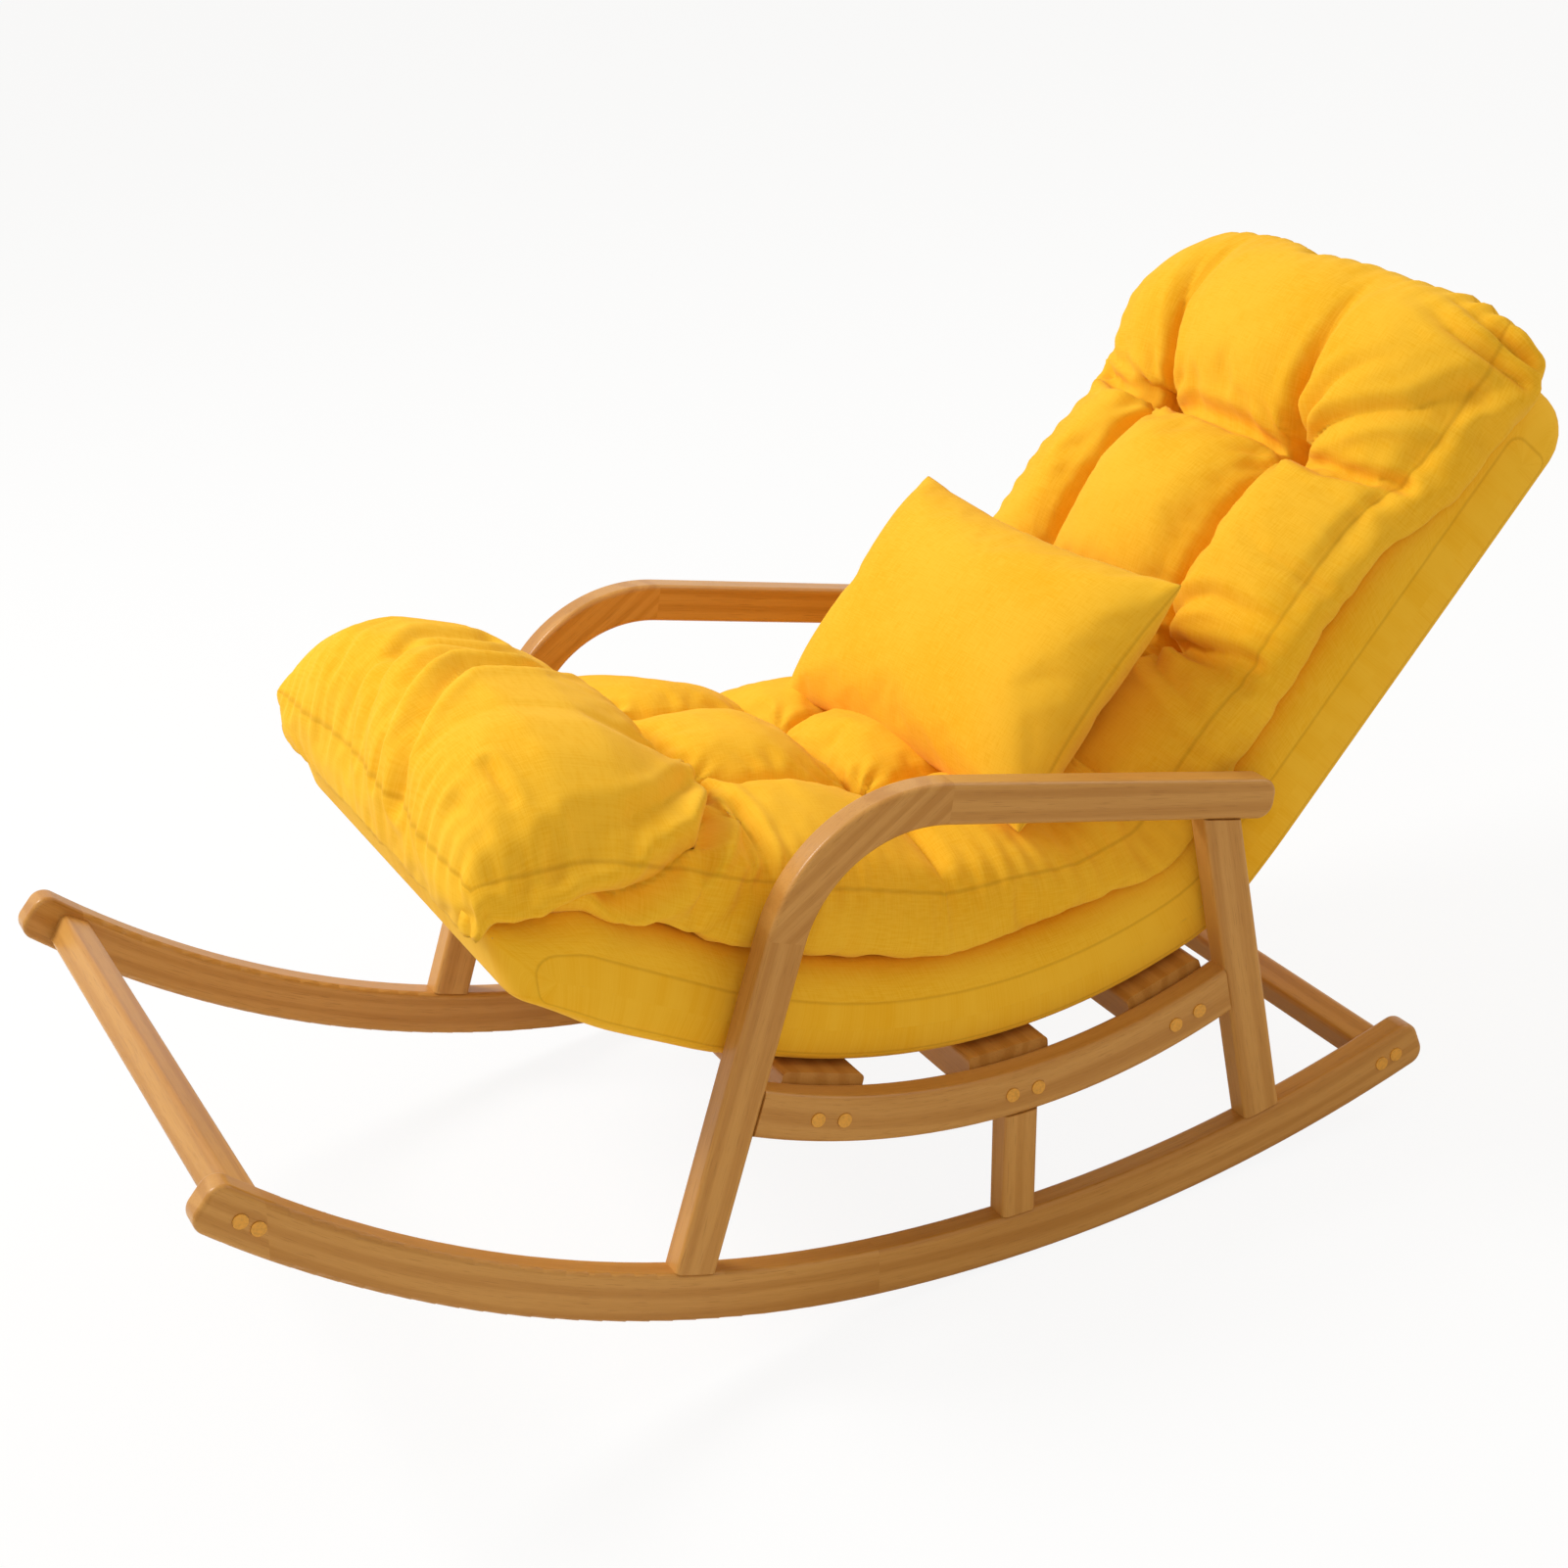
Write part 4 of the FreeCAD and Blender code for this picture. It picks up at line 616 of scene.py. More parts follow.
def pad_point(run, x, height, ahead=0.0):
    """Give a point of the pad, in the photo's pose; its corners are rounded in plan."""
    base, slope = shell_top(run)
    aside = min(1.0, abs(x - PAD_MIDDLE) / CORNER_HALF_WIDTH) ** 4
    near_end = eased(((END_CORNER_START, 0.0), (PAD_END, 1.0)), run)
    near_front = eased(((PAD_FRONT, 1.0), (FRONT_CORNER_END, 0.0)), run)
    ahead += aside * (FRONT_CORNER * near_front - (END_CORNER if x > 0 else FAR_CORNER) * near_end)
    return base + Vector((x, 0, 0)) + outward(slope) * height + direction(slope) * ahead


def swell(share):
    """Rise steeply from 0 at a crease to 1 at the middle of a lobe."""
    return (1 - (1 - min(1.0, share)) ** SWELL_POWERS[0]) ** SWELL_POWERS[1]


def row_crease(run):
    """Give the nearest row of tufts and how much of its crease is left at a run."""
    nearest = min(range(len(TUFT_RUNS)), key=lambda index: abs(run - TUFT_RUNS[index]))
    at = TUFT_RUNS[nearest]
    if run < TUFT_RUNS[0]:
        reach = FRONT_REACH
    elif run > TUFT_RUNS[-1]:
        reach = END_REACH
    else:
        other = nearest + (1 if run > at else -1)
        reach = abs(TUFT_RUNS[other] - at) / 2
    return nearest, 1 - swell(abs(run - at) / reach)


def pad_top(run, x):
    """Give the height of the pad's quilted top."""
    seam = eased(PAD_SEAMS, run)
    if x > PAD_MIDDLE:
        half = eased(PAD_NEAR, run) - PAD_MIDDLE
    else:
        half = eased(PAD_FAR, run) + PAD_MIDDLE
    out = abs(x - PAD_MIDDLE)
    edge = min(1.0, out / half)
    front = 1 - max(0.0, 1 - (run - PAD_FRONT) / FRONT_ROUND) ** END_POWER
    end = 1 - max(0.0, 1 - (PAD_END - run) / END_ROUND) ** END_POWER
    dome = (eased(PAD_CROWNS, run) - seam) * (1 - edge ** eased(PAD_SQUARENESS, run)) ** DOME_POWER
    dome *= (front * end) ** DOME_END_POWER
    column = eased(PAD_COLUMNS, run)
    reach = column if out < column else (half - column) * 0.5
    beside = 1 - swell(abs(out - column) / reach)
    row, along = row_crease(run)
    outer = max(0.0, (out - column) / (half - column))
    row_depth = ROW_DEPTHS[row] * (1 - OUTER_ROW_SHARE * outer)
    column_depth = eased(COLUMN_DEPTHS, run)
    if run < TUFT_RUNS[0] and x > PAD_MIDDLE:
        column_depth *= FRONT_COLUMN_SHARE
    valley = column_depth * beside * (1 - along) + row_depth * along * (1 - beside)
    valley += TUFT_DEPTHS[row] * along * beside
    return seam + dome - min(valley, dome * 0.97) * (1 - edge ** 10)


def spread(low, high, step):
    """Give evenly spaced values from low to high."""
    count = max(2, round((high - low) / step))
    return [low + (high - low) * index / count for index in range(count + 1)]


def joined(stops, step):
    """Give values that pass through each stop, a step apart."""
    values = []
    for low, high in zip(stops, stops[1:]):
        values += spread(low, high, step)[:-1]
    return values + [stops[-1]]


ACROSS_COUNTS = (21, 27, 21)


def across(run):
    """Give places across the pad from seam to seam, through both columns of tufts."""
    column = eased(PAD_COLUMNS, run)
    stops = (-eased(PAD_FAR, run), PAD_MIDDLE - column, PAD_MIDDLE + column, eased(PAD_NEAR, run))
    places = []
    for low, high, count in zip(stops, stops[1:], ACROSS_COUNTS):
        places += [low + (high - low) * index / count for index in range(count)]
    return places + [stops[-1]]


def border(run, share):
    """Give how far the border stands out beyond its seam, from 0 at the seam to 1 at its foot."""
    belly = eased(BELLIES, run) * math.sin(math.pi * share)
    return belly + eased(FEET, run) * share - TUCK * share ** 6


def drawn_in(run, share):
    """Give how far the border's foot is drawn in at the pad's end, where it overhangs the shell."""
    return -END_TUCK * share * eased(((PAD_END - END_DRAW_LENGTH, 0.0), (PAD_END, 1.0)), run)


def build_pad():
    """Build the pad: its quilted top, a border on four sides and its underside."""
    cloth = Cloth("pad_cloth")
    runs = joined((PAD_FRONT,) + TUFT_RUNS + (PAD_END,), PAD_STEP)
    depths = spread(0.0, 1.0, 1.0 / PAD_WALL_ROWS)
    ends = {runs[0]: -1, runs[-1]: 1}

    def item(run, x, height, ahead, sheet, seam, pin):
        """Pack one vertex of a patch."""
        return (pad_point(run, x, height, ahead), sheet, seam, pin)

    def held(run, x):
        """Hold the cloth in the creases between the tufts."""
        out = abs(x - PAD_MIDDLE)
        column = eased(PAD_COLUMNS, run)
        half = eased(PAD_NEAR, run)
        in_rows = TUFT_RUNS[0] - HOLD_REACH < run < TUFT_RUNS[-1] + HOLD_REACH
        on_column = abs(out - column) < HOLD_REACH and in_rows
        off_row = min(abs(run - at) for at in TUFT_RUNS)
        on_row = off_row < HOLD_REACH and out < column + (half - column) * HOLD_SHARE
        return CREASE_PIN if on_column or on_row else 0.0

    def foot(x_seam, run, share):
        """Give a border point's place across the pad and its height."""
        side = 1 if x_seam > 0 else -1
        x = x_seam + side * border(run, share)
        hang = eased(((PAD_FRONT, FRONT_HANG), (PAD_FRONT + HANG_LENGTH, 0.0)), run)
        low = shell_edge(x) + PAD_CLEARANCE - hang
        return x, eased(PAD_SEAMS, run) * (1 - share) + low * share

    top = []
    for run in runs:
        row = []
        near_seam, far_seam = eased(PAD_NEAR, run), eased(PAD_FAR, run)
        for x in across(run):
            gap = max(0.0, min(near_seam - x, x + far_seam, run - PAD_FRONT, PAD_END - run))
            row.append(item(run, x, pad_top(run, x), 0.0, (x, run), gap, held(run, x)))
        top.append(row)
    cloth.patch(top)
    for side in (-1, 1):
        rows = []
        for run in runs:
            edge = eased(PAD_NEAR, run) if side > 0 else -eased(PAD_FAR, run)
            row = []
            for share in depths:
                x, height = foot(edge, run, share)
                gap = share * BORDER_SHEET
                sheet = (edge + side * share * BORDER_SHEET, run)
                pin = 1.0 if share == 1.0 else 0.0
                row.append(item(run, x, height, drawn_in(run, share), sheet, gap, pin))
            rows.append(row)
        cloth.patch(rows, flip=side > 0)
    feet = {}
    for run, forward in ends.items():
        rows = []
        places = across(run)
        for share in depths:
            row = []
            far, near = foot(places[0], run, share)[0], foot(places[-1], run, share)[0]
            swelling = END_BULGE * math.sin(math.pi * share) - END_DRAW * share
            for x in places:
                part = (x - places[0]) / (places[-1] - places[0])
                out_x = far + (near - far) * part
                low = shell_edge(out_x) + PAD_CLEARANCE - (FRONT_HANG if forward < 0 else 0.0)
                height = eased(PAD_SEAMS, run) * (1 - share) + low * share
                corner = 1 - abs(2 * part - 1) ** 8
                ahead = forward * corner * swelling + drawn_in(run, share)
                sheet = (x, run + forward * share * BORDER_SHEET)
                pin = 1.0 if share == 1.0 else 0.0
                row.append(item(run, out_x, height, ahead, sheet, share * BORDER_SHEET, pin))
            rows.append(row)
        feet[run] = rows[-1]
        cloth.patch(rows)
    under = []
    for run in runs:
        if run in feet:
            under.append(feet[run])
            continue
        places = across(run)
        far, near = foot(places[0], run, 1.0)[0], foot(places[-1], run, 1.0)[0]
        row = []
        for x in places:
            out_x = far + (near - far) * (x - places[0]) / (places[-1] - places[0])
            height = shell_edge(out_x) + PAD_CLEARANCE
            row.append(item(run, out_x, height, drawn_in(run, 1.0), (x, run), BORDER_SHEET, 1.0))
        under.append(row)
    cloth.patch(under, flip=True)
    return cloth.finish()


# Creases that fan out of the tufts: points (run, across), depth, width and what is left at the end
PAD_CREASES = (
    (((1.055, 0.122), (1.100, 0.118), (1.145, 0.125), (1.200, 0.133)), 0.0110, 0.0075, 0.15),
    (((1.058, 0.125), (1.120, 0.170), (1.160, 0.215)), 0.0085, 0.0060, 0.10),
    (((1.056, 0.130), (1.090, 0.190), (1.130, 0.250), (1.190, 0.282)), 0.0090, 0.0060, 0.55),
    (((1.052, 0.135), (1.056, 0.195), (1.062, 0.245)), 0.0060, 0.0050, 0.30),
    (((1.046, 0.130), (1.044, 0.200), (1.068, 0.262)), 0.0080, 0.0055, 0.60),
    (((1.055, -0.094), (1.095, -0.085), (1.140, -0.100), (1.195, -0.112)), 0.0120, 0.0075, 0.15),
    (((1.055, -0.094), (1.048, -0.150), (1.066, -0.225)), 0.0110, 0.0060, 0.80),
    (((1.060, -0.100), (1.066, -0.150), (1.080, -0.205)), 0.0070, 0.0050, 0.30),
    (((0.842, 0.122), (0.876, 0.150), (0.896, 0.190), (0.900, 0.240)), 0.0090, 0.0060, 0.30),
    (((0.842, 0.125), (0.846, 0.190), (0.862, 0.250)), 0.0100, 0.0060, 0.50),
    (((0.840, 0.120), (0.815, 0.170), (0.800, 0.235)), 0.0080, 0.0065, 0.30),
    (((0.950, 0.262), (0.948, 0.215), (0.962, 0.180)), 0.0045, 0.0055, 0.10),
    (((1.205, 0.292), (1.210, 0.240), (1.222, 0.190)), 0.0100, 0.0065, 0.15),
    (((1.232, 0.285), (1.236, 0.225), (1.240, 0.170)), 0.0080, 0.0060, 0.10),
    (((0.223, -0.077), (0.150, -0.050), (0.100, -0.012), (0.040, 0.045), (-0.006, 0.085)),
     0.0105, 0.0080, 0.80),
    (((0.150, -0.085), (0.090, -0.045), (0.030, 0.000), (-0.006, 0.032)), 0.0060, 0.0065, 0.70),
    (((0.110, -0.125), (0.060, -0.085), (0.020, -0.045), (-0.006, -0.025)), 0.0055, 0.0065, 0.70),
    (((0.140, -0.190), (0.070, -0.165), (0.010, -0.130)), 0.0045, 0.0065, 0.60),
    (((0.223, 0.105), (0.208, 0.190), (0.172, 0.258), (0.110, 0.290), (0.040, 0.308), (-0.006, 0.318)),
     0.0200, 0.0075, 0.90),
    (((0.200, 0.160), (0.140, 0.225), (0.080, 0.262), (0.025, 0.275)), 0.0060, 0.0075, 0.50),
    (((0.232, 0.125), (0.238, 0.200), (0.240, 0.262), (0.200, 0.300)), 0.0080, 0.0070, 0.50),
    (((0.004, 0.190), (0.012, 0.238)), 0.0050, 0.0045, 0.60),
    (((0.036, 0.185), (0.040, 0.228)), 0.0050, 0.0045, 0.60),
    (((0.439, 0.105), (0.445, 0.170), (0.450, 0.240)), 0.0060, 0.0060, 0.20),
    (((0.590, 0.105), (0.600, 0.180), (0.610, 0.255)), 0.0070, 0.0065, 0.30))
CREASE_GAIN = 1.35
QUILT_DEPTHS = ((0.600, 0.0040), (0.800, 0.0080))
QUILT_WIDTH = 0.0055
PIT_DEPTHS = ((0.600, 0.010), (0.800, 0.015))
PIT_WIDTH = 0.020
TUFT_FOLD = 0.0034
TUFT_RAYS = 11
RAY_TWIST = 2.2
RAY_TURN = 40
FOLD_PLACE = 0.026
FOLD_WIDTH = 0.020
SEAM_FOLD = 0.0030
SEAM_PITCH = 0.023
SEAM_REACH = 0.020
SEAM_TWIST = 3.0
SLACK = 0.0026
WANDER_SCALES = {"rays": 26.0, "patches": 9.0, "pleats": 14.0, "slack": 16.0, "fine": 38.0}


def wrinkle_pad(mesh):
    """Press the creases into the finished pad and gather it at its tufts and seams."""
    x, run, gap = [vertex_values(mesh, name) for name in ("sheet_x", "sheet_run", "seam")]
    loose = numpy.clip((1 - vertex_values(mesh, "pin")) / (1 - CREASE_PIN), 0.0, 1.0)
    amount = numpy.zeros(len(run))
    for points, depth, width, tail in PAD_CREASES:
        amount -= CREASE_GAIN * crease_depth(run, x, points, depth, width, tail)
    for at, after in zip(TUFT_RUNS, TUFT_RUNS[1:] + TUFT_RUNS[-1:]):
        column, next_column = eased(PAD_COLUMNS, at), eased(PAD_COLUMNS, after)
        depth = eased(QUILT_DEPTHS, at)
        row = ((at, PAD_MIDDLE - column), (at, PAD_MIDDLE + column))
        amount -= crease_depth(run, x, row, depth, QUILT_WIDTH, 1.0)
        for side in (-1, 1):
            if after > at:
                line = ((at, PAD_MIDDLE + side * column), (after, PAD_MIDDLE + side * next_column))
                amount -= crease_depth(run, x, line, depth, QUILT_WIDTH, 1.0)
    waves = wander(run, x, WANDER_SCALES["rays"], 2.0)
    for at in TUFT_RUNS:
        column = eased(PAD_COLUMNS, at)
        for side in (-1, 1):
            run_off, x_off = run - at, x - PAD_MIDDLE - side * column
            reach = numpy.hypot(run_off, x_off)
            turn = numpy.arctan2(run_off, x_off)
            rays = numpy.cos(turn * TUFT_RAYS + RAY_TWIST * waves + side + at * RAY_TURN)
            amount += TUFT_FOLD * rays * numpy.exp(-((reach - FOLD_PLACE) / FOLD_WIDTH) ** 2)
            amount -= eased(PIT_DEPTHS, at) * numpy.exp(-(reach / PIT_WIDTH) ** 2)
    patchy = 0.55 + 0.65 * wander(run, x, WANDER_SCALES["patches"], 5.0)
    near_gap = abs(x - numpy.array([eased(PAD_NEAR, at) for at in run]))
    far_gap = abs(x + numpy.array([eased(PAD_FAR, at) for at in run]))
    end_gap = numpy.minimum(abs(run - PAD_FRONT), abs(PAD_END - run))
    place = numpy.where(numpy.minimum(near_gap, far_gap) < end_gap, run, x)
    twist = SEAM_TWIST * wander(run, x, WANDER_SCALES["pleats"], 7.0)
    pleats = numpy.cos(2 * math.pi * place / SEAM_PITCH + twist)
    amount += SEAM_FOLD * pleats * numpy.clip(patchy, 0.0, 1.2) * numpy.exp(-gap / SEAM_REACH)
    amount += SLACK * wander(run, x, WANDER_SCALES["slack"], 11.0)
    amount += 0.5 * SLACK * wander(run, x, WANDER_SCALES["fine"], 13.0)
    push(mesh, amount * loose)


# Seat shell: a boxed body whose edges are rounded down to a seam on each side

SIDE_INSET = 0.033
UNDER_INSET = 0.012
SHELL_REACH = 0.018
SEAM_ROUNDS = (0.024, 0.014, 0.010, 0.008)
OUTER_ROUNDS = (0.014, 0.026, 0.030, 0.010)
LOOP_COUNTS = (4, 5, 90)
PANEL_PUFF = 0.0035
PANEL_DRAW = 0.020
PANEL_RINGS = 4
EDGE_RINGS = 7
WRAP_STEP = 0.06
WRAP_GAP = 0.05


def box_loop(low, high, top, bottom, radii):
    """Go round a box with rounded corners in (run, depth): front, top, end and underside."""
    side, bend, length = LOOP_COUNTS
    loop = []

    def corner(run, deep, start, radius):
        """Add one rounded corner, whose arc runs on from a start angle."""
        for index in range(bend):
            angle = start + math.pi / 2 * index / bend
            loop.append((run - radius * math.cos(angle), deep - radius * math.sin(angle)))

    def line(first, second, count):
        """Add a straight side without its end."""
        for index in range(count):
            share = index / count
            run = first[0] + (second[0] - first[0]) * share
            loop.append((run, first[1] + (second[1] - first[1]) * share))

    a, b, c, d = radii
    line((low, bottom - d), (low, top + a), side)
    corner(low + a, top + a, 0.0, a)
    line((low + a, top), (high - b, top), length)
    corner(high - b, top + b, math.pi / 2, b)
    line((high, top + b), (high, bottom - c), side)
    corner(high - c, bottom - c, math.pi, c)
    line((high - c, bottom), (low + d, bottom), length)
    corner(low + d, bottom - d, math.pi * 1.5, d)
    return loop


def build_shell():
    """Build the covered shell: two puffed side panels and the wrap between their seams."""
    cloth = Cloth("shell_cloth")
    seam_top, seam_bottom = SIDE_INSET, SHELL_THICKNESS - UNDER_INSET
    seam_loop = box_loop(SIDE_INSET, SHELL_END - SIDE_INSET, seam_top, seam_bottom, SEAM_ROUNDS)
    outer_loop = box_loop(0.0, SHELL_END + SHELL_REACH, 0.0, SHELL_THICKNESS, OUTER_ROUNDS)
    middle = (SIDE_INSET + SHELL_THICKNESS - UNDER_INSET) / 2
    for side in (-1, 1):
        rings = []
        for step in range(PANEL_RINGS + 1):
            share = step / PANEL_RINGS
            draw = PANEL_DRAW * (1 - share)
            x = side * (SHELL_HALF_WIDTH + PANEL_PUFF * (1 - share ** 2))
            ring = []
            for run, deep in seam_loop:
                inner_run = min(SHELL_END - SIDE_INSET - draw, max(SIDE_INSET + draw, run))
                at = shell_point(inner_run, middle + (deep - middle) * share)
                ring.append((Vector((x, at.y, at.z)), (run, deep), draw, 0.0))
            rings.append(ring)
        for step in range(1, EDGE_RINGS + 1):
            angle = math.pi / 2 * step / EDGE_RINGS
            share = math.sin(angle)
            gap = angle * EDGE_ROUND
            x = side * (SHELL_HALF_WIDTH - EDGE_ROUND * (1 - math.cos(angle)))
            ring = []
            for (run, deep), (far_run, far_deep) in zip(seam_loop, outer_loop):
                at = shell_point(run, deep).lerp(shell_point(far_run, far_deep), share)
                ring.append((Vector((x, at.y, at.z)), (run, deep - gap), gap, 0.0))
            rings.append(ring)
        cloth.patch([ring + ring[:1] for ring in rings], flip=side > 0)
    inner = SHELL_HALF_WIDTH - EDGE_ROUND
    rings = []
    for x in spread(-inner, inner, WRAP_STEP):
        ring = []
        for run, deep in outer_loop:
            at = shell_point(run, deep)
            ring.append((Vector((x, at.y, at.z)), (run, x), WRAP_GAP, 0.0))
        rings.append(ring)
    cloth.patch([ring + ring[:1] for ring in rings])
    return cloth.finish()


FOAM_HALF_WIDTH = 0.252
FOAM_DEPTHS = (0.0042, 0.0150)
FOAM_START = 0.110
FOAM_END = SHELL_END - 0.060
FOAM_STEPS = (0.03, 0.08)


def build_foam():
    """Build the foam sheet under the shell's cover."""
    cloth = Cloth("foam_sheet")
    runs = spread(FOAM_START, FOAM_END, FOAM_STEPS[0])
    loop = [(run, FOAM_DEPTHS[0]) for run in runs]
    loop += [(run, FOAM_DEPTHS[1]) for run in reversed(runs)]
    loop.append(loop[0])
    rows = []
    for x in spread(-FOAM_HALF_WIDTH, FOAM_HALF_WIDTH, FOAM_STEPS[1]):
        row = []
        for run, deep in loop:
            at = shell_point(run, deep)
            row.append((Vector((x, at.y, at.z)), (x, run), WRAP_GAP, 0.0))
        rows.append(row)
    cloth.patch(rows)
    count = len(runs)
    for row in (rows[0], rows[-1]):
        cloth.patch([row[:count], list(reversed(row[count:2 * count]))])
    return cloth.finish()


# Loose pillow: two sheets sewn together at their edges

PILLOW_LENGTH = 0.412
PILLOW_HEIGHT = 0.266
PILLOW_THICKNESS = 0.112
PILLOW_DRAW = 0.014
PILLOW_STEP = 0.007
PILLOW_X = 0.045
PILLOW_ALONG = 0.032
PILLOW_LIFT = 0.158
PILLOW_TURN = math.radians(2.5)
PILLOW_ROLL = math.radians(4)
PILLOW_POWER = 0.55
PILLOW_EASE = 0.12


def build_pillow():
    """Build the pillow round its own middle, before it is puffed up."""
    cloth = Cloth("pillow_cloth")
    wide = spread(-1.0, 1.0, 2 * PILLOW_STEP / PILLOW_LENGTH)
    tall = spread(-1.0, 1.0, 2 * PILLOW_STEP / PILLOW_HEIGHT)
    half_length, half_height = PILLOW_LENGTH / 2, PILLOW_HEIGHT / 2
    for side in (-1, 1):
        rows = []
        for b in tall:
            row = []
            for a in wide:
                drawn_a = a * (half_length - PILLOW_DRAW * (1 - b * b) * abs(a) ** 3)
                drawn_b = b * (half_height - PILLOW_DRAW * (1 - a * a) * abs(b) ** 3)
                belly = ((1 - a ** 4) * (1 - b ** 4)) ** PILLOW_POWER
                belly *= 1 - PILLOW_EASE * (a * a + b * b)
                height = side * PILLOW_THICKNESS / 2 * belly
                gap = min((1 - abs(a)) * half_length, (1 - abs(b)) * half_height)
                place = Vector((drawn_a, drawn_b, height))
                row.append((place, (a * half_length, b * half_height), gap, 1.0 if gap < 1e-6 else 0.0))
            rows.append(row)
        cloth.patch(rows, flip=side > 0)
    return cloth.finish()


def dress(thing, material, body):
    """Give a soft piece its material and its body."""
    thing.data.materials.clear()
    thing.data.materials.append(material)
    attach(thing, body)


# Lights and floor

WORLD_TINT = colour(1.0, 0.91, 0.74)
WORLD_STRENGTH = 0.48
WHITE = colour(1.0, 1.0, 1.0)
FLOOR_GREY = colour(0.86, 0.86, 0.86)
FLOOR_REACH = 40.0
FLOOR_LIFT = 0.90
LIGHT_AIM = Vector((0, 0, 0.4))
LIGHTS = (
    ("key", (-1.6, -2.2, 3.4), 1.6, 126.0, (1.0, 1.0, 1.0)),
    ("fill", (3.6, -1.2, 2.2), 2.6, 15.0, (1.0, 0.92, 0.78)),
    ("back", (0.5, 3.2, 2.8), 2.4, 30.0, (1.0, 1.0, 1.0)))


def add_world():
    """Soft warm light all round; the camera and reflections see it white."""
    world = bpy.data.worlds.new("studio")
    bpy.context.scene.world = world
    world.use_nodes = True
    tree = world.node_tree
    tree.nodes.clear()
    path = tree.nodes.new("ShaderNodeLightPath")
    soft = tree.nodes.new("ShaderNodeBackground")
    soft.inputs["Color"].default_value = WORLD_TINT
    soft.inputs["Strength"].default_value = WORLD_STRENGTH
    white = tree.nodes.new("ShaderNodeBackground")
    white.inputs["Color"].default_value = WHITE
    seen = tree.nodes.new("ShaderNodeMath")
    seen.operation = "MAXIMUM"
    tree.links.new(path.outputs["Is Camera Ray"], seen.inputs[0])
    tree.links.new(path.outputs["Is Glossy Ray"], seen.inputs[1])
    mixed = tree.nodes.new("ShaderNodeMixShader")
    output = tree.nodes.new("ShaderNodeOutputWorld")
    tree.links.new(seen.outputs[0], mixed.inputs[0])
    tree.links.new(soft.outputs[0], mixed.inputs[1])
    tree.links.new(white.outputs[0], mixed.inputs[2])
    tree.links.new(mixed.outputs[0], output.inputs[0])


def add_floor():
    """Wide pale floor, lifted towards white for the camera, which keeps the shadow."""
    mesh = bpy.data.meshes.new("floor")
    corners = [(x * FLOOR_REACH, y * FLOOR_REACH, 0) for x, y in ((-1, -1), (1, -1), (1, 1), (-1, 1))]
    mesh.from_pydata(corners, [], [(0, 1, 2, 3)])
    floor = bpy.data.objects.new("floor", mesh)
    bpy.context.collection.objects.link(floor)
    shader = Shader("floor_white")
    shader.surface.inputs["Base Color"].default_value = FLOOR_GREY
    shader.surface.inputs["Roughness"].default_value = 0.9
    shader.surface.inputs["Specular IOR Level"].default_value = 0.0
    glow = shader.node("ShaderNodeEmission", Color=WHITE, Strength=1.0)
    ray = shader.node("ShaderNodeLightPath")
    lift = shader.math("MULTIPLY", ray.outputs["Is Camera Ray"], FLOOR_LIFT)
    lifted = shader.node("ShaderNodeMixShader", _0=lift)
    output = shader.tree.nodes["Material Output"]
    shader.tree.links.new(shader.surface.outputs[0], lifted.inputs[1])
    shader.tree.links.new(glow.outputs[0], lifted.inputs[2])
    shader.tree.links.new(lifted.outputs[0], output.inputs[0])
    mesh.materials.append(shader.material)


def add_lights():
    """Key, fill and back light: name, place, size, power and tint."""
    for name, place, size, power, tint in LIGHTS:
        data = bpy.data.lights.new(name, "AREA")
        data.shape = "DISK"
        data.size = size
        data.energy = power
        data.color = tint
        light = bpy.data.objects.new(name, data)
        bpy.context.collection.objects.link(light)
        aim = LIGHT_AIM - Vector(place)
        light.matrix_world = Matrix.LocRotScale(Vector(place), aim.to_track_quat("-Z", "Y"), None)


# Assembly

add_camera()
add_world()
add_floor()
add_lights()

cotton = fabric_material("pad_cotton")
pad = build_pad()
puff(pad, pressure=3.0, growth=0.045, frames=16, cap=0.020)
refine(pad)
wrinkle_pad(pad.data)
pad.data.transform(ROLL)
dress(pad, cotton, "pad")
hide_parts("tufted_pad")

shell = build_shell()
shell.data.transform(ROLL)
dress(shell, cotton, "frame")
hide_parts("shell_cover")
foam_sheet = build_foam()
foam_sheet.data.transform(ROLL)
dress(foam_sheet, plain_material("foam", colour(0.80, 0.74, 0.50), 0.95), "frame")
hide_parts("shell_foam")

pillow = build_pillow()
puff(pillow, pressure=2.0, growth=0.012, frames=12, cap=0.012)
refine(pillow)
seat = Matrix.Translation(pad_point(BACK_AT + PILLOW_ALONG, PILLOW_X, PILLOW_LIFT))
leaning = Matrix.Rotation(BACK_SLOPE, 4, "X") @ Matrix.Rotation(PILLOW_ROLL, 4, "Y")
pillow.data.transform(ROLL @ seat @ leaning @ Matrix.Rotation(PILLOW_TURN, 4, "Z"))
dress(pillow, cotton, "pillow")
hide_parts("pillow")


def rolled(y, z):
    """Give a side view place of the photo's pose in the chair's own pose."""
    spot = ROLL @ Vector((0, y, z))
    return (spot.y, spot.z)


def dyed(names, material):
    """Give some of the part's own nodes one material."""
    for name in names:
        node = frame["nodes"][name]
        node.data.materials.clear()
        node.data.materials.append(material)


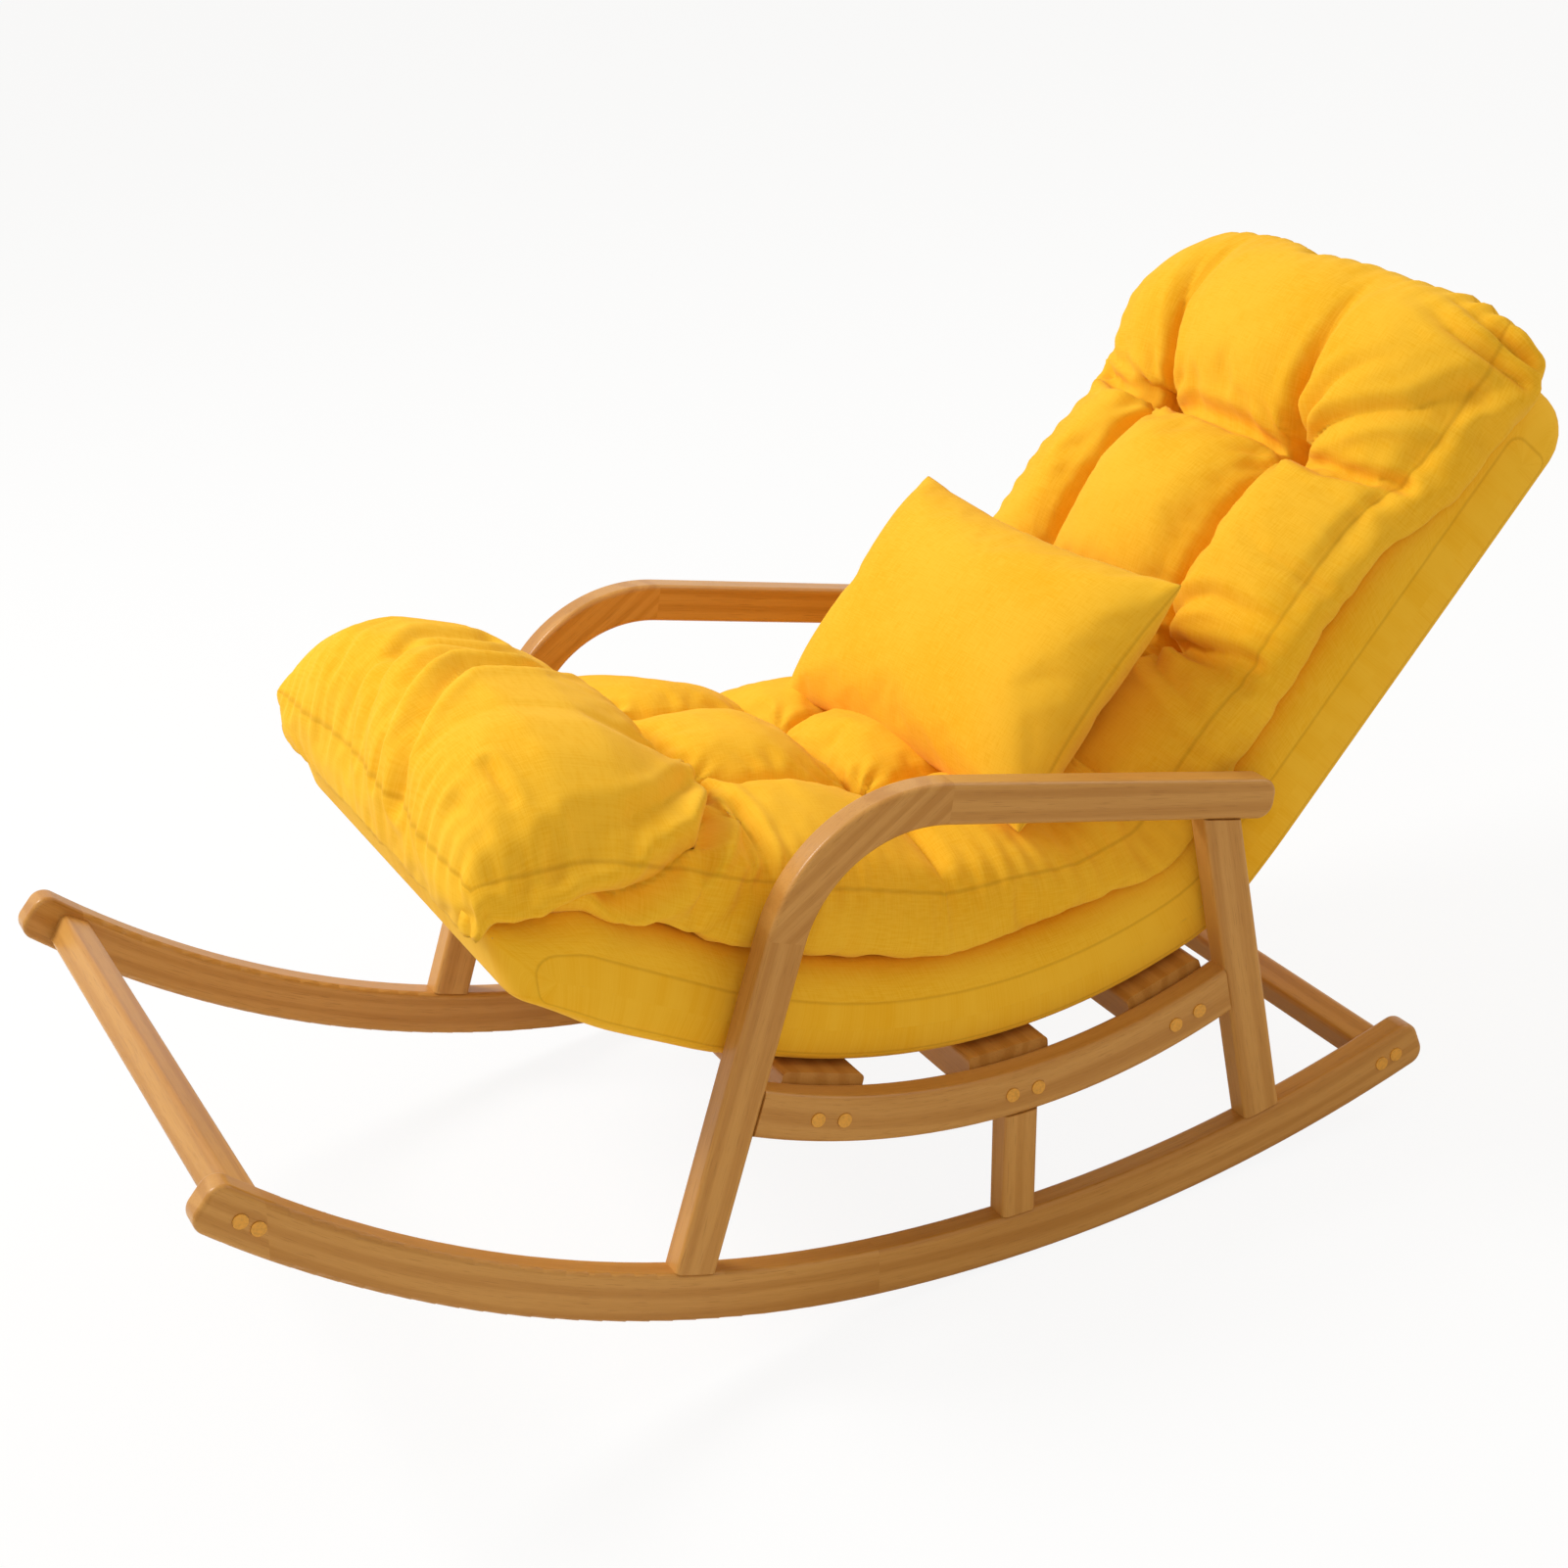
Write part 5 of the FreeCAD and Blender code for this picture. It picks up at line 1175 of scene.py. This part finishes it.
REAR_ARC = rolled(0.0, REAR_RADIUS)
FRONT_RADIUS = 1.035
ROCKER_JOINT = 0.055
JOINT_LOW = REAR_RADIUS - math.sqrt(REAR_RADIUS ** 2 - ROCKER_JOINT ** 2)
FRONT_ARC = rolled(ROCKER_JOINT * FRONT_RADIUS / REAR_RADIUS - ROCKER_JOINT,
                   JOINT_LOW + FRONT_RADIUS * (REAR_RADIUS - JOINT_LOW) / REAR_RADIUS)
SEAT_ARC = rolled(SEAT_CENTRE.y, SEAT_CENTRE.z)
FRONT_LEG_SLOPE = math.radians(90 - 16.6)
BEND_SLOPE = math.radians(37)
ARM_SLOPE = -math.radians(9.1)
REAR_LEG_SLOPE = math.radians(90 + 11.6)
POST_SLOPE = math.radians(90)
WOOD_GRAINS = {
    "rocker_toe": (None, FRONT_ARC), "rocker_front": (None, FRONT_ARC), "rocker_rear": (None, REAR_ARC),
    "side_rail": (None, SEAT_ARC), "front_leg": (FRONT_LEG_SLOPE - REST_LEAN, None),
    "arm_bend": (BEND_SLOPE - REST_LEAN, None), "armrest": (ARM_SLOPE - REST_LEAN, None),
    "rear_leg": (REAR_LEG_SLOPE - REST_LEAN, None), "middle_post": (POST_SLOPE - REST_LEAN, None)}
CROSS_BARS = ("front_stretcher", "rear_stretcher", "seat_rail_front", "seat_rail_middle", "seat_rail_rear")
SIDE_SEEDS = {"left": 0.0, "right": 5.3}
GRAIN_SEED_STEP = 1.7
BAR_SEED = 11.0
BAR_SEED_STEP = 2.3
for number, (stem, (turn, centre)) in enumerate(WOOD_GRAINS.items()):
    for side, offset in SIDE_SEEDS.items():
        seed = number * GRAIN_SEED_STEP + offset
        name = "%s_%s" % (stem, side)
        dyed((name,), wood_material(name + "_wood", turn or 0.0, centre, seed))
for number, name in enumerate(CROSS_BARS):
    dyed((name,), wood_material(name + "_wood", seed=BAR_SEED + number * BAR_SEED_STEP, across=True))
HIDDEN_WOOD = ("dowels_left", "dowels_right", "shell_panel_left", "shell_panel_right", "shell_crosspieces")
dyed(HIDDEN_WOOD, plain_material("inner_wood", colour(0.55, 0.36, 0.18), 0.7))
dyed(("plug_caps_left", "plug_caps_right"), plain_material("cap_wood", colour(0.78, 0.36, 0.035), 0.42))
steel = plain_material("screw_steel", colour(0.55, 0.55, 0.53), 0.35, 1.0)
dyed(("rail_screws_left", "rail_screws_right", "shell_screws"), steel)
dyed(("shell_webbing",), plain_material("strap", colour(0.09, 0.07, 0.05), 0.9))

scene = bpy.context.scene
scene.view_settings.view_transform = "Standard"
bpy.context.view_layer.update()
